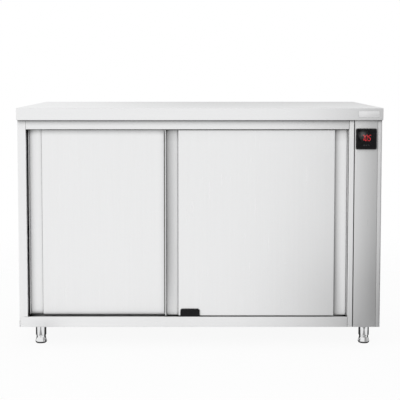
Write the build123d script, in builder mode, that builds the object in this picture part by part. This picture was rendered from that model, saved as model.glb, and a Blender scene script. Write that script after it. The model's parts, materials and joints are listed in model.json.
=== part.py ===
from build123d import *
import os

# Plate warmer cabinet: a worktop on a double-skinned body with two hanging sliding doors, a shelf,
# a fan heater behind an air guard and a control column at the right.
# Millimetres. X runs to the right across the front, Y to the back and Z up. The origin is on the floor
# below the middle of the worktop. Each sheet-metal piece is a folded strip: the points of its outer
# face, offset by the sheet's thickness and extruded along the fold.

# ---------------------------------------------------------------- overall sizes
worktop_width = 1300
worktop_depth = 700
overall_height = 865
apron_height = 43
leg_height = 76
side_overhang = 1
end_overhang = 10

# ---------------------------------------------------------------- sheet metal
worktop_sheet = 1.5
body_sheet = 1.0
pan_sheet = 1.2
hem = 15
worktop_core_thickness = 18
edge_ease = 0.8
insulation_thickness = 28
fit_gap = 0.3
pin_gap = 0.05

# ---------------------------------------------------------------- front frame
left_flange = 30.4
right_flange = 15.9
corner_radius = 5
fascia_width = 80.5
fascia_seam = 0.8
post_groove = 1.6
post_width = 19.6
post_fold_radius = 3
bottom_rail_height = 37.4
sill_lip = 4
gutter_depth = 14

# ---------------------------------------------------------------- doors
door_thickness = 16
door_setback = 6
door_running_gap = 4
door_back_gap = 8
door_overlap = 163
door_left_gap = 4
door_right_gap = 0.7
door_bottom_gap = 3.1
door_top_gap = 3.4
channel_lip = 3
channel_width = 44.7
channel_depth = 10.5
channel_radius = 3
panel_radius = 1.5

# ---------------------------------------------------------------- hanging gear
roller_inset = 30
roller_radius = 10
roller_width = 6
roller_setback = 7
rail_sheet = 1.5
rail_web_offset = 4.2
rail_lip_height = 6
roller_headroom = 6.7
roller_side_gap = 0.5
axle_radius = 3
axle_head_radius = 5
axle_head = 2.5
hanger_width = 40
hanger_sheet = 2
hanger_tail = 50
hanger_crown_width = 20
hanger_crown_top = 9

# ---------------------------------------------------------------- sill guide
guide_length = 68
guide_height = 27.1
guide_base = 2
guide_offset = 9
guide_lip = 4
guide_middle_lip = 2.4
guide_middle_height = 16
guide_gap = 1
guide_corner = 7

# ---------------------------------------------------------------- shelf and its uprights
shelf_top = 450
shelf_sheet = 1.2
shelf_skirt = 25
shelf_hem = 12
shelf_corner = 4
shelf_side_gap = 2.6
shelf_front_gap = 18
shelf_back_gap = 8
upright_width = 25
upright_depth = 10
upright_inset = 40
upright_end_gap = 18
slot_pitch = 75
slot_width = 12
slot_height = 4
clip_ledge = 12
clip_sheet = 2.5
clip_tongue = 4
clip_play = 1

# ---------------------------------------------------------------- fan, heater and air guard
fan_y = 10
fan_z = 268
impeller_radius = 75
impeller_plate_gap = 7.6
impeller_plate = 1
blade_count = 6
blade_inner_radius = 34
blade_outer_radius = 70
blade_depth = 25
blade_sheet = 1.2
hub_radius = 12
hub_length = 18
shaft_end_length = 6
shaft_nut_radius = 7.5
shaft_radius = 4
shaft_hole_radius = 14
heater_radius = 95
heater_tube_width = 9
heater_tube_thickness = 6
heater_tail = 22
heater_seal_size = 16
heater_seal_length = 8
heater_gap_angle = 30
guard_depth = 45
guard_width = 380
guard_height = 260
guard_flange = 12
guard_chamfer = 5
guard_slot_count = 12
guard_slot_inner = 28
guard_slot_outer = 68
guard_slot_width = 8
guard_outlet_count = 11
guard_outlet_pitch = 20

# ---------------------------------------------------------------- control column
controller_size = 72
controller_proud = 6
controller_body = 66
controller_depth = 58
controller_drop = 67.4
controller_corner = 2
clip_length = 20
clip_width = 16
clip_height = 4
screen_border = 4.7
screen_depth = 1.5
motor_standoff = 20
motor_flange = 70
motor_flange_sheet = 2
motor_size = 62
motor_stack = 30
motor_cap_radius = 21
motor_cap_length = 14
coil_width = 38
coil_height = 26
coil_overhang = 6
bracket_size = 90
bracket_sheet = 2
post_radius = 4
post_inset = 6
probe_radius = 3
probe_length = 30
probe_hex_radius = 7
probe_hex_length = 14
cutout_radius = 12
cutout_height = 9
cutout_ear = 1
terminal_poles = 5
terminal_pitch = 14
terminal_width = 22
terminal_body = 14
terminal_foot = 4
terminal_setback = 210
gland_thread_radius = 10
gland_bore_radius = 5
gland_hex = 26
gland_cap = 22
gland_collar = 8
gland_dome = 14
gland_nut = 5

# ---------------------------------------------------------------- legs and feet
leg_left_inset = 66
leg_right_inset = 46.6
leg_depth_inset = 73
leg_radius = 19
leg_wall = 1.5
leg_plate_size = 84
leg_plate_thickness = 3
foot_height = 30
foot_neck_radius = 16.8
foot_base_radius = 21
foot_land_radius = 18.5
foot_base_height = 4
foot_neck_height = 22
spindle_radius = 8
spindle_engagement = 40
insert_height = 20

# ---------------------------------------------------------------- planes that the pieces share
left_x = -worktop_width / 2 + side_overhang
right_x = worktop_width / 2 - side_overhang
front_y = -worktop_depth / 2 + end_overhang
back_y = worktop_depth / 2 - end_overhang
body_bottom = leg_height
body_top = overall_height - apron_height
pan_top = body_bottom + pan_sheet
sill_z = body_bottom + bottom_rail_height
gutter_z = sill_z - gutter_depth

opening_left = left_x + left_flange
fascia_right = right_x - right_flange - fascia_seam
fascia_left = fascia_right - fascia_width
post_right = fascia_left - post_groove
opening_right = post_right - post_width
opening_width = opening_right - opening_left

front_face_y = front_y + door_setback
door_pitch = door_thickness + door_running_gap
rear_face_y = front_face_y + door_pitch
chamber_front = rear_face_y + door_thickness + door_back_gap
chamber_back = back_y - insulation_thickness - 2 * body_sheet

header_height = (
    3 * body_sheet + rail_sheet + fit_gap + 2 * roller_radius + roller_headroom + rail_sheet
)
header_z = body_top - header_height
rail_floor_z = header_z + 2 * body_sheet
rail_tread_z = rail_floor_z + rail_sheet
axle_z = rail_tread_z + fit_gap + roller_radius
track_top_z = body_top - body_sheet

door_width = (opening_width - door_left_gap - door_right_gap + door_overlap) / 2
door_bottom = sill_z + door_bottom_gap
door_top = header_z - door_top_gap
front_door_x = opening_right - door_right_gap - door_width
rear_door_x = opening_left + door_left_gap

leg_x = (left_x + leg_left_inset, right_x - leg_right_inset)
leg_y = (front_y + leg_depth_inset, back_y - leg_depth_inset)
leg_places = [(x, y) for x in leg_x for y in leg_y]

os.makedirs("parts", exist_ok=True)


def keep(piece, name):
    """Label a finished piece and write its STEP file under the same name."""
    piece.part.label = name
    export_step(piece.part, f"parts/{name}.step")


def folded_sheet(plane, points, thickness, length, side=Side.LEFT, radius=0):
    """A sheet folded along the points of its outer face, seen end on in the plane."""
    with BuildPart() as sheet:
        with BuildSketch(plane):
            with BuildLine():
                if radius:
                    FilletPolyline(*points, radius=radius)
                else:
                    Polyline(*points)
                offset(amount=thickness, side=side, kind=Kind.INTERSECTION)
            make_face()
        extrude(amount=length)
    return sheet.part


def finished(solid):
    """A plain folded sheet, or another finished solid, as a piece."""
    with BuildPart() as piece:
        add(solid)
    return piece


def span_box(x, y, z, mode=Mode.ADD):
    """A box between two values on each axis."""
    centre = ((x[0] + x[1]) / 2, (y[0] + y[1]) / 2, (z[0] + z[1]) / 2)
    with Locations(centre):
        Box(x[1] - x[0], y[1] - y[0], z[1] - z[0], mode=mode)


# ================================================================ worktop
def worktop_skin():
    """A tray turned upside down: top, apron on four sides and a hem that rests on the body."""
    inner_width = worktop_width - 2 * worktop_sheet
    inner_depth = worktop_depth - 2 * worktop_sheet
    with BuildPart() as skin:
        with BuildSketch(Plane.XY.offset(body_top)):
            Rectangle(worktop_width, worktop_depth)
        extrude(amount=apron_height)
        chamfer(skin.faces().sort_by(Axis.Z)[-1].edges(), edge_ease)
        with BuildSketch(Plane.XY.offset(body_top + worktop_sheet)):
            Rectangle(inner_width, inner_depth)
        extrude(amount=apron_height - 2 * worktop_sheet, mode=Mode.SUBTRACT)
        with BuildSketch(Plane.XY.offset(body_top)):
            Rectangle(inner_width - 2 * hem, inner_depth - 2 * hem)
        extrude(amount=worktop_sheet, mode=Mode.SUBTRACT)
    return skin


core_top = overall_height - worktop_sheet
core_bottom = core_top - worktop_core_thickness
core_inset = worktop_sheet + fit_gap


def worktop_core():
    """The board that stiffens and quietens the worktop from below."""
    with BuildPart() as core:
        with BuildSketch(Plane.XY.offset(core_bottom)):
            Rectangle(worktop_width - 2 * core_inset, worktop_depth - 2 * core_inset)
        extrude(amount=worktop_core_thickness)
    return core


stiffener_width = 60
stiffener_flange = 20
stiffener_count = 3
stiffener_pitch = 400


def worktop_stiffeners():
    """Hat sections from the header to the rear rail, which carry the board."""
    start = front_y + worktop_sheet + hem
    half = stiffener_width / 2
    crown = core_bottom - body_sheet
    profile = [
        (-half - stiffener_flange, body_top),
        (-half, body_top),
        (-half, crown),
        (half, crown),
        (half, body_top),
        (half + stiffener_flange, body_top),
    ]
    hat = folded_sheet(Plane.XZ.offset(start), profile, body_sheet, -2 * start, Side.LEFT)
    with BuildPart() as hats:
        with GridLocations(stiffener_pitch, 1, stiffener_count, 1):
            add(hat)
    return hats


# ================================================================ body panels
def left_side_panel():
    """Side skin with the corner flange and the door jamb at the front and a return at the back."""
    plan = [
        (opening_left - hem, chamber_front),
        (opening_left, chamber_front),
        (opening_left, front_y),
        (left_x, front_y),
        (left_x, back_y),
        (left_x + hem + worktop_sheet, back_y),
    ]
    radii = [0, 0, corner_radius, 0]
    height = body_top - body_bottom
    sheet = folded_sheet(Plane.XY.offset(body_bottom), plan, body_sheet, height, Side.RIGHT, radii)
    with BuildPart() as panel:
        add(sheet)
        rail_face = (front_y - 1, front_y + body_sheet)
        face_x = (left_x + corner_radius, opening_left + 1)
        span_box(face_x, rail_face, (body_bottom - 1, sill_z), Mode.SUBTRACT)
        jamb_foot = (front_y + body_sheet, chamber_front + 1)
        foot_x = (left_x + body_sheet, opening_left + 1)
        span_box(foot_x, jamb_foot, (body_bottom - 1, gutter_z), Mode.SUBTRACT)
        side_flange(left_x + body_sheet, left_x + hem + worktop_sheet)
    return panel


def side_flange(x_low, x_high):
    """The turned-in top edge of a side panel, under the worktop's hem."""
    span_box((x_low, x_high), (front_y + corner_radius, back_y - body_sheet), (track_top_z, body_top))


def right_side_panel():
    """Side skin with a narrow corner flange, whose inner return closes the fascia's edge."""
    plan = [
        (right_x - right_flange, front_y + hem),
        (right_x - right_flange, front_y),
        (right_x, front_y),
        (right_x, back_y),
        (right_x - hem - worktop_sheet, back_y),
    ]
    radii = [0, corner_radius, 0]
    height = body_top - body_bottom
    sheet = folded_sheet(Plane.XY.offset(body_bottom), plan, body_sheet, height, Side.LEFT, radii)
    with BuildPart() as panel:
        add(sheet)
        inside = (front_y + body_sheet, front_y + hem + 1)
        return_x = (right_x - right_flange - 1, right_x - corner_radius)
        span_box(return_x, inside, (body_bottom - 1, pan_top), Mode.SUBTRACT)
        side_flange(right_x - hem - worktop_sheet, right_x - body_sheet)
    return panel


service_z = (150, 420)
service_x = (fascia_left - 8, fascia_right - 7)
service_margin = 12


def back_panel():
    """The rear skin, with the access hole of the control column."""
    with BuildPart() as panel:
        skin_y = (back_y - 2 * body_sheet, back_y - body_sheet)
        inside_x = (left_x + body_sheet + fit_gap, right_x - body_sheet - fit_gap)
        span_box(inside_x, skin_y, (pan_top, track_top_z))
        hole_x = (service_x[0] + service_margin, service_x[1] - service_margin)
        hole_z = (service_z[0] + service_margin, service_z[1] - service_margin)
        span_box(hole_x, skin_y, hole_z, Mode.SUBTRACT)
    return panel


cover_rise = 7
louvre_count = 6
louvre_pitch = 34
louvre_height = 6


def service_cover():
    """A shallow tray over the access hole, with a column of vent slots."""
    width = service_x[1] - service_x[0]
    height = service_z[1] - service_z[0]
    tray = (width - 2 * service_margin, height - 2 * service_margin)
    seat = Plane(
        origin=((service_x[0] + service_x[1]) / 2, back_y - body_sheet, (service_z[0] + service_z[1]) / 2),
        x_dir=(-1, 0, 0),
        z_dir=(0, 1, 0),
    )
    with BuildPart() as cover:
        with BuildSketch(seat):
            Rectangle(width, height)
        extrude(amount=body_sheet)
        with BuildSketch(seat):
            Rectangle(*tray)
        extrude(amount=cover_rise, taper=20)
        with BuildSketch(seat):
            Rectangle(tray[0] - 2 * body_sheet, tray[1] - 2 * body_sheet)
        extrude(amount=cover_rise - body_sheet, taper=20, mode=Mode.SUBTRACT)
        with BuildSketch(seat):
            with GridLocations(1, louvre_pitch, 1, louvre_count):
                Rectangle(width - 4 * service_margin, louvre_height)
        extrude(amount=cover_rise, mode=Mode.SUBTRACT)
    return cover


def rear_top_rail():
    """The folded rail that ties the back together below the worktop."""
    web_y = back_y - 2 * body_sheet
    profile = [(web_y, header_z + hem), (web_y, body_top), (chamber_back - 2 * hem, body_top)]
    length = opening_right - opening_left
    return finished(folded_sheet(Plane.YZ.offset(opening_left), profile, body_sheet, length, Side.LEFT))


def header_rail():
    """The rail above the doors, which hides and carries the door track."""
    profile = [
        (front_y + hem - 3 * body_sheet, header_z),
        (front_y, header_z),
        (front_y, body_top),
        (chamber_front, body_top),
    ]
    length = opening_right - opening_left
    return finished(folded_sheet(Plane.YZ.offset(opening_left), profile, body_sheet, length, Side.RIGHT))


def bottom_rail():
    """The rail below the doors: its face, a narrow sill and the gutter that the doors hang over."""
    gutter_front = front_y + sill_lip
    gutter_back = chamber_front - body_sheet
    profile = [
        (front_y, body_bottom),
        (front_y, sill_z),
        (gutter_front, sill_z),
        (gutter_front, gutter_z),
        (gutter_back, gutter_z),
        (gutter_back, sill_z),
    ]
    start = left_x + corner_radius
    sheet = folded_sheet(Plane.YZ.offset(start), profile, body_sheet, opening_right - start, Side.RIGHT)
    with BuildPart() as rail:
        add(sheet)
        corner_y = (front_y + body_sheet, chamber_front + 1)
        span_box((start - 1, opening_left), corner_y, (gutter_z - 2 * body_sheet, sill_z + 1), Mode.SUBTRACT)
    return rail


def control_post():
    """The narrow upright that ends the opening: jamb, face and a return into the column."""
    plan = [
        (opening_right + hem, chamber_front),
        (opening_right, chamber_front),
        (opening_right, front_y),
        (post_right, front_y),
        (post_right, front_y + hem),
    ]
    radii = [0, post_fold_radius, post_fold_radius]
    height = track_top_z - body_bottom
    sheet = folded_sheet(Plane.XY.offset(body_bottom), plan, body_sheet, height, Side.LEFT, radii)
    with BuildPart() as post:
        add(sheet)
        foot_y = (front_y + body_sheet, chamber_front + 1)
        span_box((opening_right - 1, post_right + 1), foot_y, (body_bottom - 1, pan_top), Mode.SUBTRACT)
        flange_x = (opening_right, opening_right + hem + 1)
        header_y = (chamber_front - body_sheet - 1, chamber_front + 1)
        span_box(flange_x, header_y, (header_z, body_top), Mode.SUBTRACT)
    return post


controller_x = (fascia_left + fascia_right) / 2
controller_z = body_top - controller_drop


def control_fascia():
    """The tray-shaped front of the control column, with the controller's cut-out."""
    height = body_top - body_bottom
    middle_z = (body_bottom + body_top) / 2
    ring_z = (pan_top, body_top)
    with BuildPart() as fascia:
        with BuildSketch(Plane.XZ.offset(-front_y)):
            with Locations((controller_x, middle_z)):
                Rectangle(fascia_width, height)
        extrude(amount=-body_sheet)
        span_box((fascia_left, fascia_right), (front_y + body_sheet, front_y + hem), ring_z)
        inner_x = (fascia_left + body_sheet, fascia_right - body_sheet)
        inner_z = (pan_top + body_sheet, body_top - body_sheet)
        span_box(inner_x, (front_y + body_sheet, front_y + hem), inner_z, Mode.SUBTRACT)
        cut = controller_body + 2 * fit_gap
        with BuildSketch(Plane.XZ.offset(-front_y)):
            with Locations((controller_x, controller_z)):
                Rectangle(cut, cut)
        extrude(amount=-body_sheet, mode=Mode.SUBTRACT)
    return fascia


gland_place = (controller_x, leg_y[1] - leg_plate_size / 2 - 1.5 * gland_hex)
pan_flange = 20


def base_pan():
    """The bottom skin with turned-up edges. It stops behind the fronts of the control column."""
    inner_x = (left_x + body_sheet, right_x - body_sheet)
    inner_y = (front_y + body_sheet, back_y - body_sheet)
    with BuildPart() as pan:
        span_box(inner_x, inner_y, (body_bottom, pan_top + pan_flange))
        fillet(pan.edges().filter_by(Axis.Z).group_by(Axis.Y)[0], corner_radius)
        hollow_x = (inner_x[0] + pan_sheet, inner_x[1] - pan_sheet)
        hollow_y = (inner_y[0] + pan_sheet, inner_y[1] - body_sheet - pan_sheet)
        span_box(hollow_x, hollow_y, (pan_top, pan_top + pan_flange), Mode.SUBTRACT)
        rear_y = (inner_y[1] - body_sheet, inner_y[1])
        span_box(inner_x, rear_y, (pan_top, pan_top + pan_flange), Mode.SUBTRACT)
        column_x = (opening_right, inner_x[1])
        column_y = (inner_y[0], hollow_y[0] + chamber_front - front_y)
        span_box(column_x, column_y, (pan_top, pan_top + pan_flange), Mode.SUBTRACT)
        with Locations((*gland_place, body_bottom)):
            Cylinder(gland_thread_radius + pin_gap, 3 * pan_sheet, mode=Mode.SUBTRACT)
    return pan


channel_places = (-400, -40, 320)
channel_section = 40


def base_channels():
    """Channels between the base pan and the chamber's floor."""
    half = channel_section / 2
    profile = [(half, pan_top), (-half, pan_top), (-half, sill_z - body_sheet), (half, sill_z - body_sheet)]
    start = chamber_front + hem
    stop = chamber_back - hem
    channel = folded_sheet(Plane.XZ.offset(-stop), profile, body_sheet, stop - start, Side.RIGHT)
    with BuildPart() as channels:
        with Locations([(x, 0, 0) for x in channel_places]):
            add(channel)
    return channels


# ================================================================ heated chamber
def chamber_left_wall():
    """Chamber side with a flange outwards at both ends. The front one meets the jamb's."""
    plan = [
        (opening_left - hem, chamber_front),
        (opening_left, chamber_front),
        (opening_left, chamber_back),
        (opening_left - hem, chamber_back),
    ]
    return finished(folded_sheet(Plane.XY.offset(sill_z), plan, body_sheet, header_z - sill_z, Side.LEFT))


heater_plane_x = opening_right - impeller_plate_gap - impeller_plate - blade_depth / 2
heater_foot_angles = (-90 - heater_gap_angle / 2, -90 + heater_gap_angle / 2)
probe_place = (fan_y + 140, header_z - 50)
cutout_place = (fan_y + 120, fan_z + 175)


def heater_feet():
    """Where the heater's two ends pass the partition, in Y and Z."""
    spokes = [Vector(heater_radius, 0).rotate(Axis.Z, angle) for angle in heater_foot_angles]
    return [(fan_y + spoke.X, fan_z + spoke.Y) for spoke in spokes]


def heater_foot_section(gap=0):
    """The heater's section where it passes the partition, with a gap all round."""
    return (heater_tube_width + 2 * gap, heater_tube_thickness + 2 * gap)


def chamber_partition():
    """Wall between the chamber and the column, with holes for shaft, heater and probe."""
    plan = [
        (opening_right + hem, chamber_front),
        (opening_right, chamber_front),
        (opening_right, chamber_back),
        (opening_right + hem, chamber_back),
    ]
    sheet = folded_sheet(Plane.XY.offset(sill_z), plan, body_sheet, header_z - sill_z, Side.RIGHT)
    with BuildPart() as wall:
        add(sheet)
        with BuildSketch(Plane.YZ.offset(opening_right)):
            with Locations((fan_y, fan_z)):
                Circle(shaft_hole_radius)
            with Locations(heater_feet()):
                Rectangle(*heater_foot_section(pin_gap))
            with Locations(probe_place):
                Circle(probe_radius + pin_gap)
        extrude(amount=body_sheet, mode=Mode.SUBTRACT)
    return wall


def chamber_back_wall():
    """Chamber back with a fold at its top and bottom edges."""
    profile = [
        (chamber_back + hem, sill_z - body_sheet),
        (chamber_back, sill_z - body_sheet),
        (chamber_back, header_z + body_sheet),
        (chamber_back + hem, header_z + body_sheet),
    ]
    start = Plane.YZ.offset(opening_left - hem)
    return finished(folded_sheet(start, profile, body_sheet, opening_width + 2 * hem, Side.RIGHT))


def chamber_floor():
    """Chamber floor, folded down at its front against the sill and at its back."""
    profile = [
        (chamber_front, sill_z - hem),
        (chamber_front, sill_z),
        (chamber_back, sill_z),
        (chamber_back, sill_z - hem),
    ]
    start = Plane.YZ.offset(opening_left)
    return finished(folded_sheet(start, profile, body_sheet, opening_width, Side.RIGHT))


def chamber_ceiling():
    """Chamber ceiling, folded up to the header at its front, which closes the track's space."""
    front = chamber_front - 2 * body_sheet
    profile = [
        (front, track_top_z),
        (front, header_z),
        (chamber_back, header_z),
        (chamber_back, header_z + hem),
    ]
    start = Plane.YZ.offset(opening_left)
    return finished(folded_sheet(start, profile, body_sheet, opening_width, Side.LEFT))


def insulation():
    """Mineral wool slabs behind the chamber's left, back, top and bottom."""
    gap = fit_gap
    wall_z = (sill_z + gap, header_z - gap)
    with BuildPart() as wool:
        left_slab = (left_x + body_sheet + gap, opening_left - body_sheet - gap)
        span_box(left_slab, (chamber_front + body_sheet + gap, chamber_back - body_sheet - gap), wall_z)
        back_slab = (chamber_back + body_sheet + gap, back_y - 2 * body_sheet - gap)
        span_box((opening_left, opening_right), back_slab, wall_z)
        top_slab = (header_z + body_sheet + gap, track_top_z - gap)
        inside_y = (chamber_front + gap, chamber_back - 2 * hem - gap)
        span_box((opening_left, opening_right), inside_y, top_slab)
        floor_slab = (pan_top + gap, sill_z - body_sheet - gap)
        floor_y = (chamber_front + hem, chamber_back - hem)
        edges = [opening_left]
        for x in channel_places:
            edges += [x - channel_section / 2 - gap, x + channel_section / 2 + gap]
        edges += [opening_right]
        for low, high in zip(edges[0::2], edges[1::2]):
            span_box((low, high), floor_y, floor_slab)
        pocket = leg_plate_size / 2 + 1
        plate_top = pan_top + leg_plate_thickness + fit_gap
        for x, y in leg_places:
            span_box((x - pocket, x + pocket), (y - pocket, y + pocket), (pan_top, plate_top), Mode.SUBTRACT)
    return wool


# ================================================================ door track and guide
bumper_left = (opening_left + body_sheet, rear_door_x + roller_inset - roller_radius - fit_gap)
bumper_right = (
    opening_right - door_right_gap - roller_inset + roller_radius + fit_gap,
    opening_right - body_sheet,
)


def door_track():
    """A top plate and two rails, each with a web, a floor and a lip that keeps the wheels in."""
    plate_end = chamber_front - 2 * body_sheet
    with BuildPart() as track:
        with BuildSketch(Plane.YZ.offset(bumper_left[0])):
            for face_y in (front_face_y, rear_face_y):
                web = face_y - rail_web_offset
                lip = face_y + roller_setback + roller_width / 2 + roller_side_gap
                with Locations((web, rail_floor_z)):
                    Rectangle(rail_sheet, track_top_z - rail_floor_z, align=(Align.MIN, Align.MIN))
                    Rectangle(lip + rail_sheet - web, rail_sheet, align=(Align.MIN, Align.MIN))
                with Locations((lip, rail_floor_z)):
                    Rectangle(rail_sheet, rail_lip_height, align=(Align.MIN, Align.MIN))
            plate_start = front_face_y - rail_web_offset
            with Locations((plate_start, track_top_z)):
                Rectangle(plate_end - plate_start, rail_sheet, align=(Align.MIN, Align.MAX))
        extrude(amount=bumper_right[1] - bumper_left[0])
    return track


def track_bumpers():
    """Rubber blocks on the webs, which stop the outermost wheels."""
    with BuildPart() as bumpers:
        for face_y in (front_face_y, rear_face_y):
            web_back = face_y - rail_web_offset + rail_sheet
            block_y = (web_back, face_y + roller_setback + roller_width / 2)
            for block_x in (bumper_left, bumper_right):
                span_box(block_x, block_y, (rail_tread_z, axle_z + roller_radius / 2))
    return bumpers


guide_centre = (opening_left + opening_right) / 2 + guide_offset


def bottom_guide():
    """The nylon guide: a foot in the gutter and three lips that the two doors run between."""
    front_lip = front_face_y - guide_gap - guide_lip
    middle_lip = rear_face_y - door_running_gap / 2 - guide_middle_lip / 2
    rear_lip = rear_face_y + door_thickness + guide_gap
    foot_front = front_y + sill_lip + fit_gap
    with BuildPart() as guide:
        with BuildSketch(Plane.YZ.offset(guide_centre - guide_length / 2)):
            with Locations((foot_front, gutter_z)):
                Rectangle(rear_lip + guide_lip - foot_front, gutter_depth, align=(Align.MIN, Align.MIN))
            with Locations((front_lip, sill_z)):
                Rectangle(rear_lip + guide_lip - front_lip, guide_base, align=(Align.MIN, Align.MIN))
                Rectangle(guide_lip, guide_height, align=(Align.MIN, Align.MIN))
            with Locations((middle_lip, sill_z)):
                Rectangle(guide_middle_lip, guide_middle_height, align=(Align.MIN, Align.MIN))
            with Locations((rear_lip, sill_z)):
                Rectangle(guide_lip, guide_middle_height, align=(Align.MIN, Align.MIN))
        extrude(amount=guide_length)
        upper = guide.edges().filter_by(Axis.Y).filter_by_position(
            Axis.Z, sill_z + guide_middle_height - 1, sill_z + guide_height + 1
        )
        fillet(upper, guide_corner)
    return guide


# ================================================================ doors
def hanger_centres(door_x):
    """Where a door's two rollers stand along X."""
    return (door_x + roller_inset, door_x + door_width - roller_inset)


def door_skin(door_x, face_y):
    """The outer skin: edge return, narrow lip, finger channel and panel, the same at both ends."""
    floor_y = face_y + channel_depth
    back = face_y + door_thickness - body_sheet
    left = [
        (door_x, back),
        (door_x, face_y),
        (door_x + channel_lip, face_y),
        (door_x + channel_lip, floor_y),
        (door_x + channel_lip + channel_width, floor_y),
        (door_x + channel_lip + channel_width, face_y),
    ]
    right = [(2 * door_x + door_width - x, y) for x, y in reversed(left)]
    corners = [0, 0, channel_radius, channel_radius, panel_radius]
    radii = corners + corners[::-1]
    height = door_top - door_bottom
    base = Plane.XY.offset(door_bottom)
    return finished(folded_sheet(base, left + right, body_sheet, height, Side.LEFT, radii))


def door_interior(door_x, face_y, height, base_z):
    """The space between skin and pan: deep behind the panel, thin behind the channels."""
    back = face_y + door_thickness - body_sheet
    clear = body_sheet + fit_gap
    channel_end = channel_lip + channel_width + clear
    shallow = face_y + channel_depth + clear
    deep = face_y + clear
    left = [
        (door_x + clear, back),
        (door_x + clear, shallow),
        (door_x + channel_end, shallow),
        (door_x + channel_end, deep),
    ]
    right = [(2 * door_x + door_width - x, y) for x, y in reversed(left)]
    with BuildPart() as interior:
        with BuildSketch(Plane.XY.offset(base_z)):
            with BuildLine():
                Polyline(*left, *right, close=True)
            make_face()
        extrude(amount=height)
    return interior.part


def hanger_pocket(door_x, face_y):
    """The room that the hangers take in a door's cap and core."""
    back = face_y + door_thickness - body_sheet
    for x in hanger_centres(door_x):
        half = hanger_width / 2 + fit_gap
        pocket_z = (door_top - hanger_tail - fit_gap, door_top + 1)
        span_box((x - half, x + half), (back - hanger_sheet - fit_gap, back), pocket_z, Mode.SUBTRACT)


def door_pan(door_x, face_y):
    """The inner sheet with a cap at the top and bottom, which closes the door."""
    back = face_y + door_thickness
    lower_cap = door_interior(door_x, face_y, body_sheet, door_bottom)
    upper_cap = door_interior(door_x, face_y, body_sheet, door_top - body_sheet)
    with BuildPart() as pan:
        span_box((door_x, door_x + door_width), (back - body_sheet, back), (door_bottom, door_top))
        add([lower_cap, upper_cap])
        hanger_pocket(door_x, face_y)
    return pan


def door_core(door_x, face_y):
    """The stiff honeycomb board between skin and pan."""
    height = door_top - door_bottom - 2 * body_sheet
    board = door_interior(door_x, face_y, height, door_bottom + body_sheet)
    with BuildPart() as core:
        add(board)
        hanger_pocket(door_x, face_y)
    return core


def door_hangers(door_x, face_y):
    """Two plates inside the door's back, each with a tapered crown about the axle above it."""
    back = face_y + door_thickness - body_sheet
    foot_z = door_top - hanger_tail
    crown_z = axle_z + hanger_crown_top
    outline = [
        (-hanger_width / 2, foot_z),
        (-hanger_width / 2, door_top),
        (-hanger_crown_width / 2, axle_z),
        (-hanger_crown_width / 2, crown_z),
        (hanger_crown_width / 2, crown_z),
        (hanger_crown_width / 2, axle_z),
        (hanger_width / 2, door_top),
        (hanger_width / 2, foot_z),
    ]
    with BuildPart() as hangers:
        with BuildSketch(Plane.XZ.offset(-back)):
            for x in hanger_centres(door_x):
                with BuildLine():
                    Polyline(*[(x + across, z) for across, z in outline], close=True)
                make_face()
        extrude(amount=hanger_sheet)
    return hangers


def door_axles(door_x, face_y):
    """Shoulder bolts welded to the plates, with a hexagon head that keeps the wheel on."""
    back = face_y + door_thickness - body_sheet - hanger_sheet
    head_y = face_y + roller_setback - roller_width / 2 - fit_gap
    places = [(x, axle_z) for x in hanger_centres(door_x)]
    with BuildPart() as axles:
        with BuildSketch(Plane.XZ.offset(-back)):
            with Locations(places):
                Circle(axle_radius)
        extrude(amount=back - head_y)
        with BuildSketch(Plane.XZ.offset(-head_y)):
            with Locations(places):
                RegularPolygon(radius=axle_head_radius, side_count=6)
        extrude(amount=axle_head)
    return axles


def roller(centre_x, face_y):
    """A nylon wheel that runs on the rail's floor, between the web and the lip."""
    with BuildPart() as wheel:
        with BuildSketch(Plane.XZ.offset(-(face_y + roller_setback + roller_width / 2))):
            with Locations((centre_x, axle_z)):
                Circle(roller_radius)
                Circle(axle_radius + pin_gap, mode=Mode.SUBTRACT)
        extrude(amount=roller_width)
    return wheel


# ================================================================ shelf
shelf_x = (opening_left + upright_depth + shelf_side_gap, opening_right - upright_depth - shelf_side_gap)
shelf_y = (chamber_front + shelf_front_gap, chamber_back - shelf_back_gap)
upright_y = (chamber_front + upright_inset, chamber_back - upright_inset)
upright_z = (sill_z + upright_end_gap, header_z - upright_end_gap)
ledge_z = shelf_top - shelf_skirt
first_slot_z = ledge_z - slot_height / 2 - slot_pitch * ((ledge_z - upright_z[0]) // slot_pitch)


def shelf():
    """A tray turned upside down, with a skirt and a hem, that rests on the clips."""
    skirt_z = (shelf_top - shelf_skirt, shelf_top)
    with BuildPart() as tray:
        span_box(shelf_x, shelf_y, skirt_z)
        fillet(tray.edges().filter_by(Axis.Z), shelf_corner)
        inner_x = (shelf_x[0] + shelf_sheet, shelf_x[1] - shelf_sheet)
        inner_y = (shelf_y[0] + shelf_sheet, shelf_y[1] - shelf_sheet)
        span_box(inner_x, inner_y, (skirt_z[0] + shelf_sheet, shelf_top - shelf_sheet), Mode.SUBTRACT)
        open_x = (shelf_x[0] + shelf_hem, shelf_x[1] - shelf_hem)
        open_y = (shelf_y[0] + shelf_hem, shelf_y[1] - shelf_hem)
        span_box(open_x, open_y, (skirt_z[0] - 1, shelf_top - shelf_sheet), Mode.SUBTRACT)
    return tray


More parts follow.
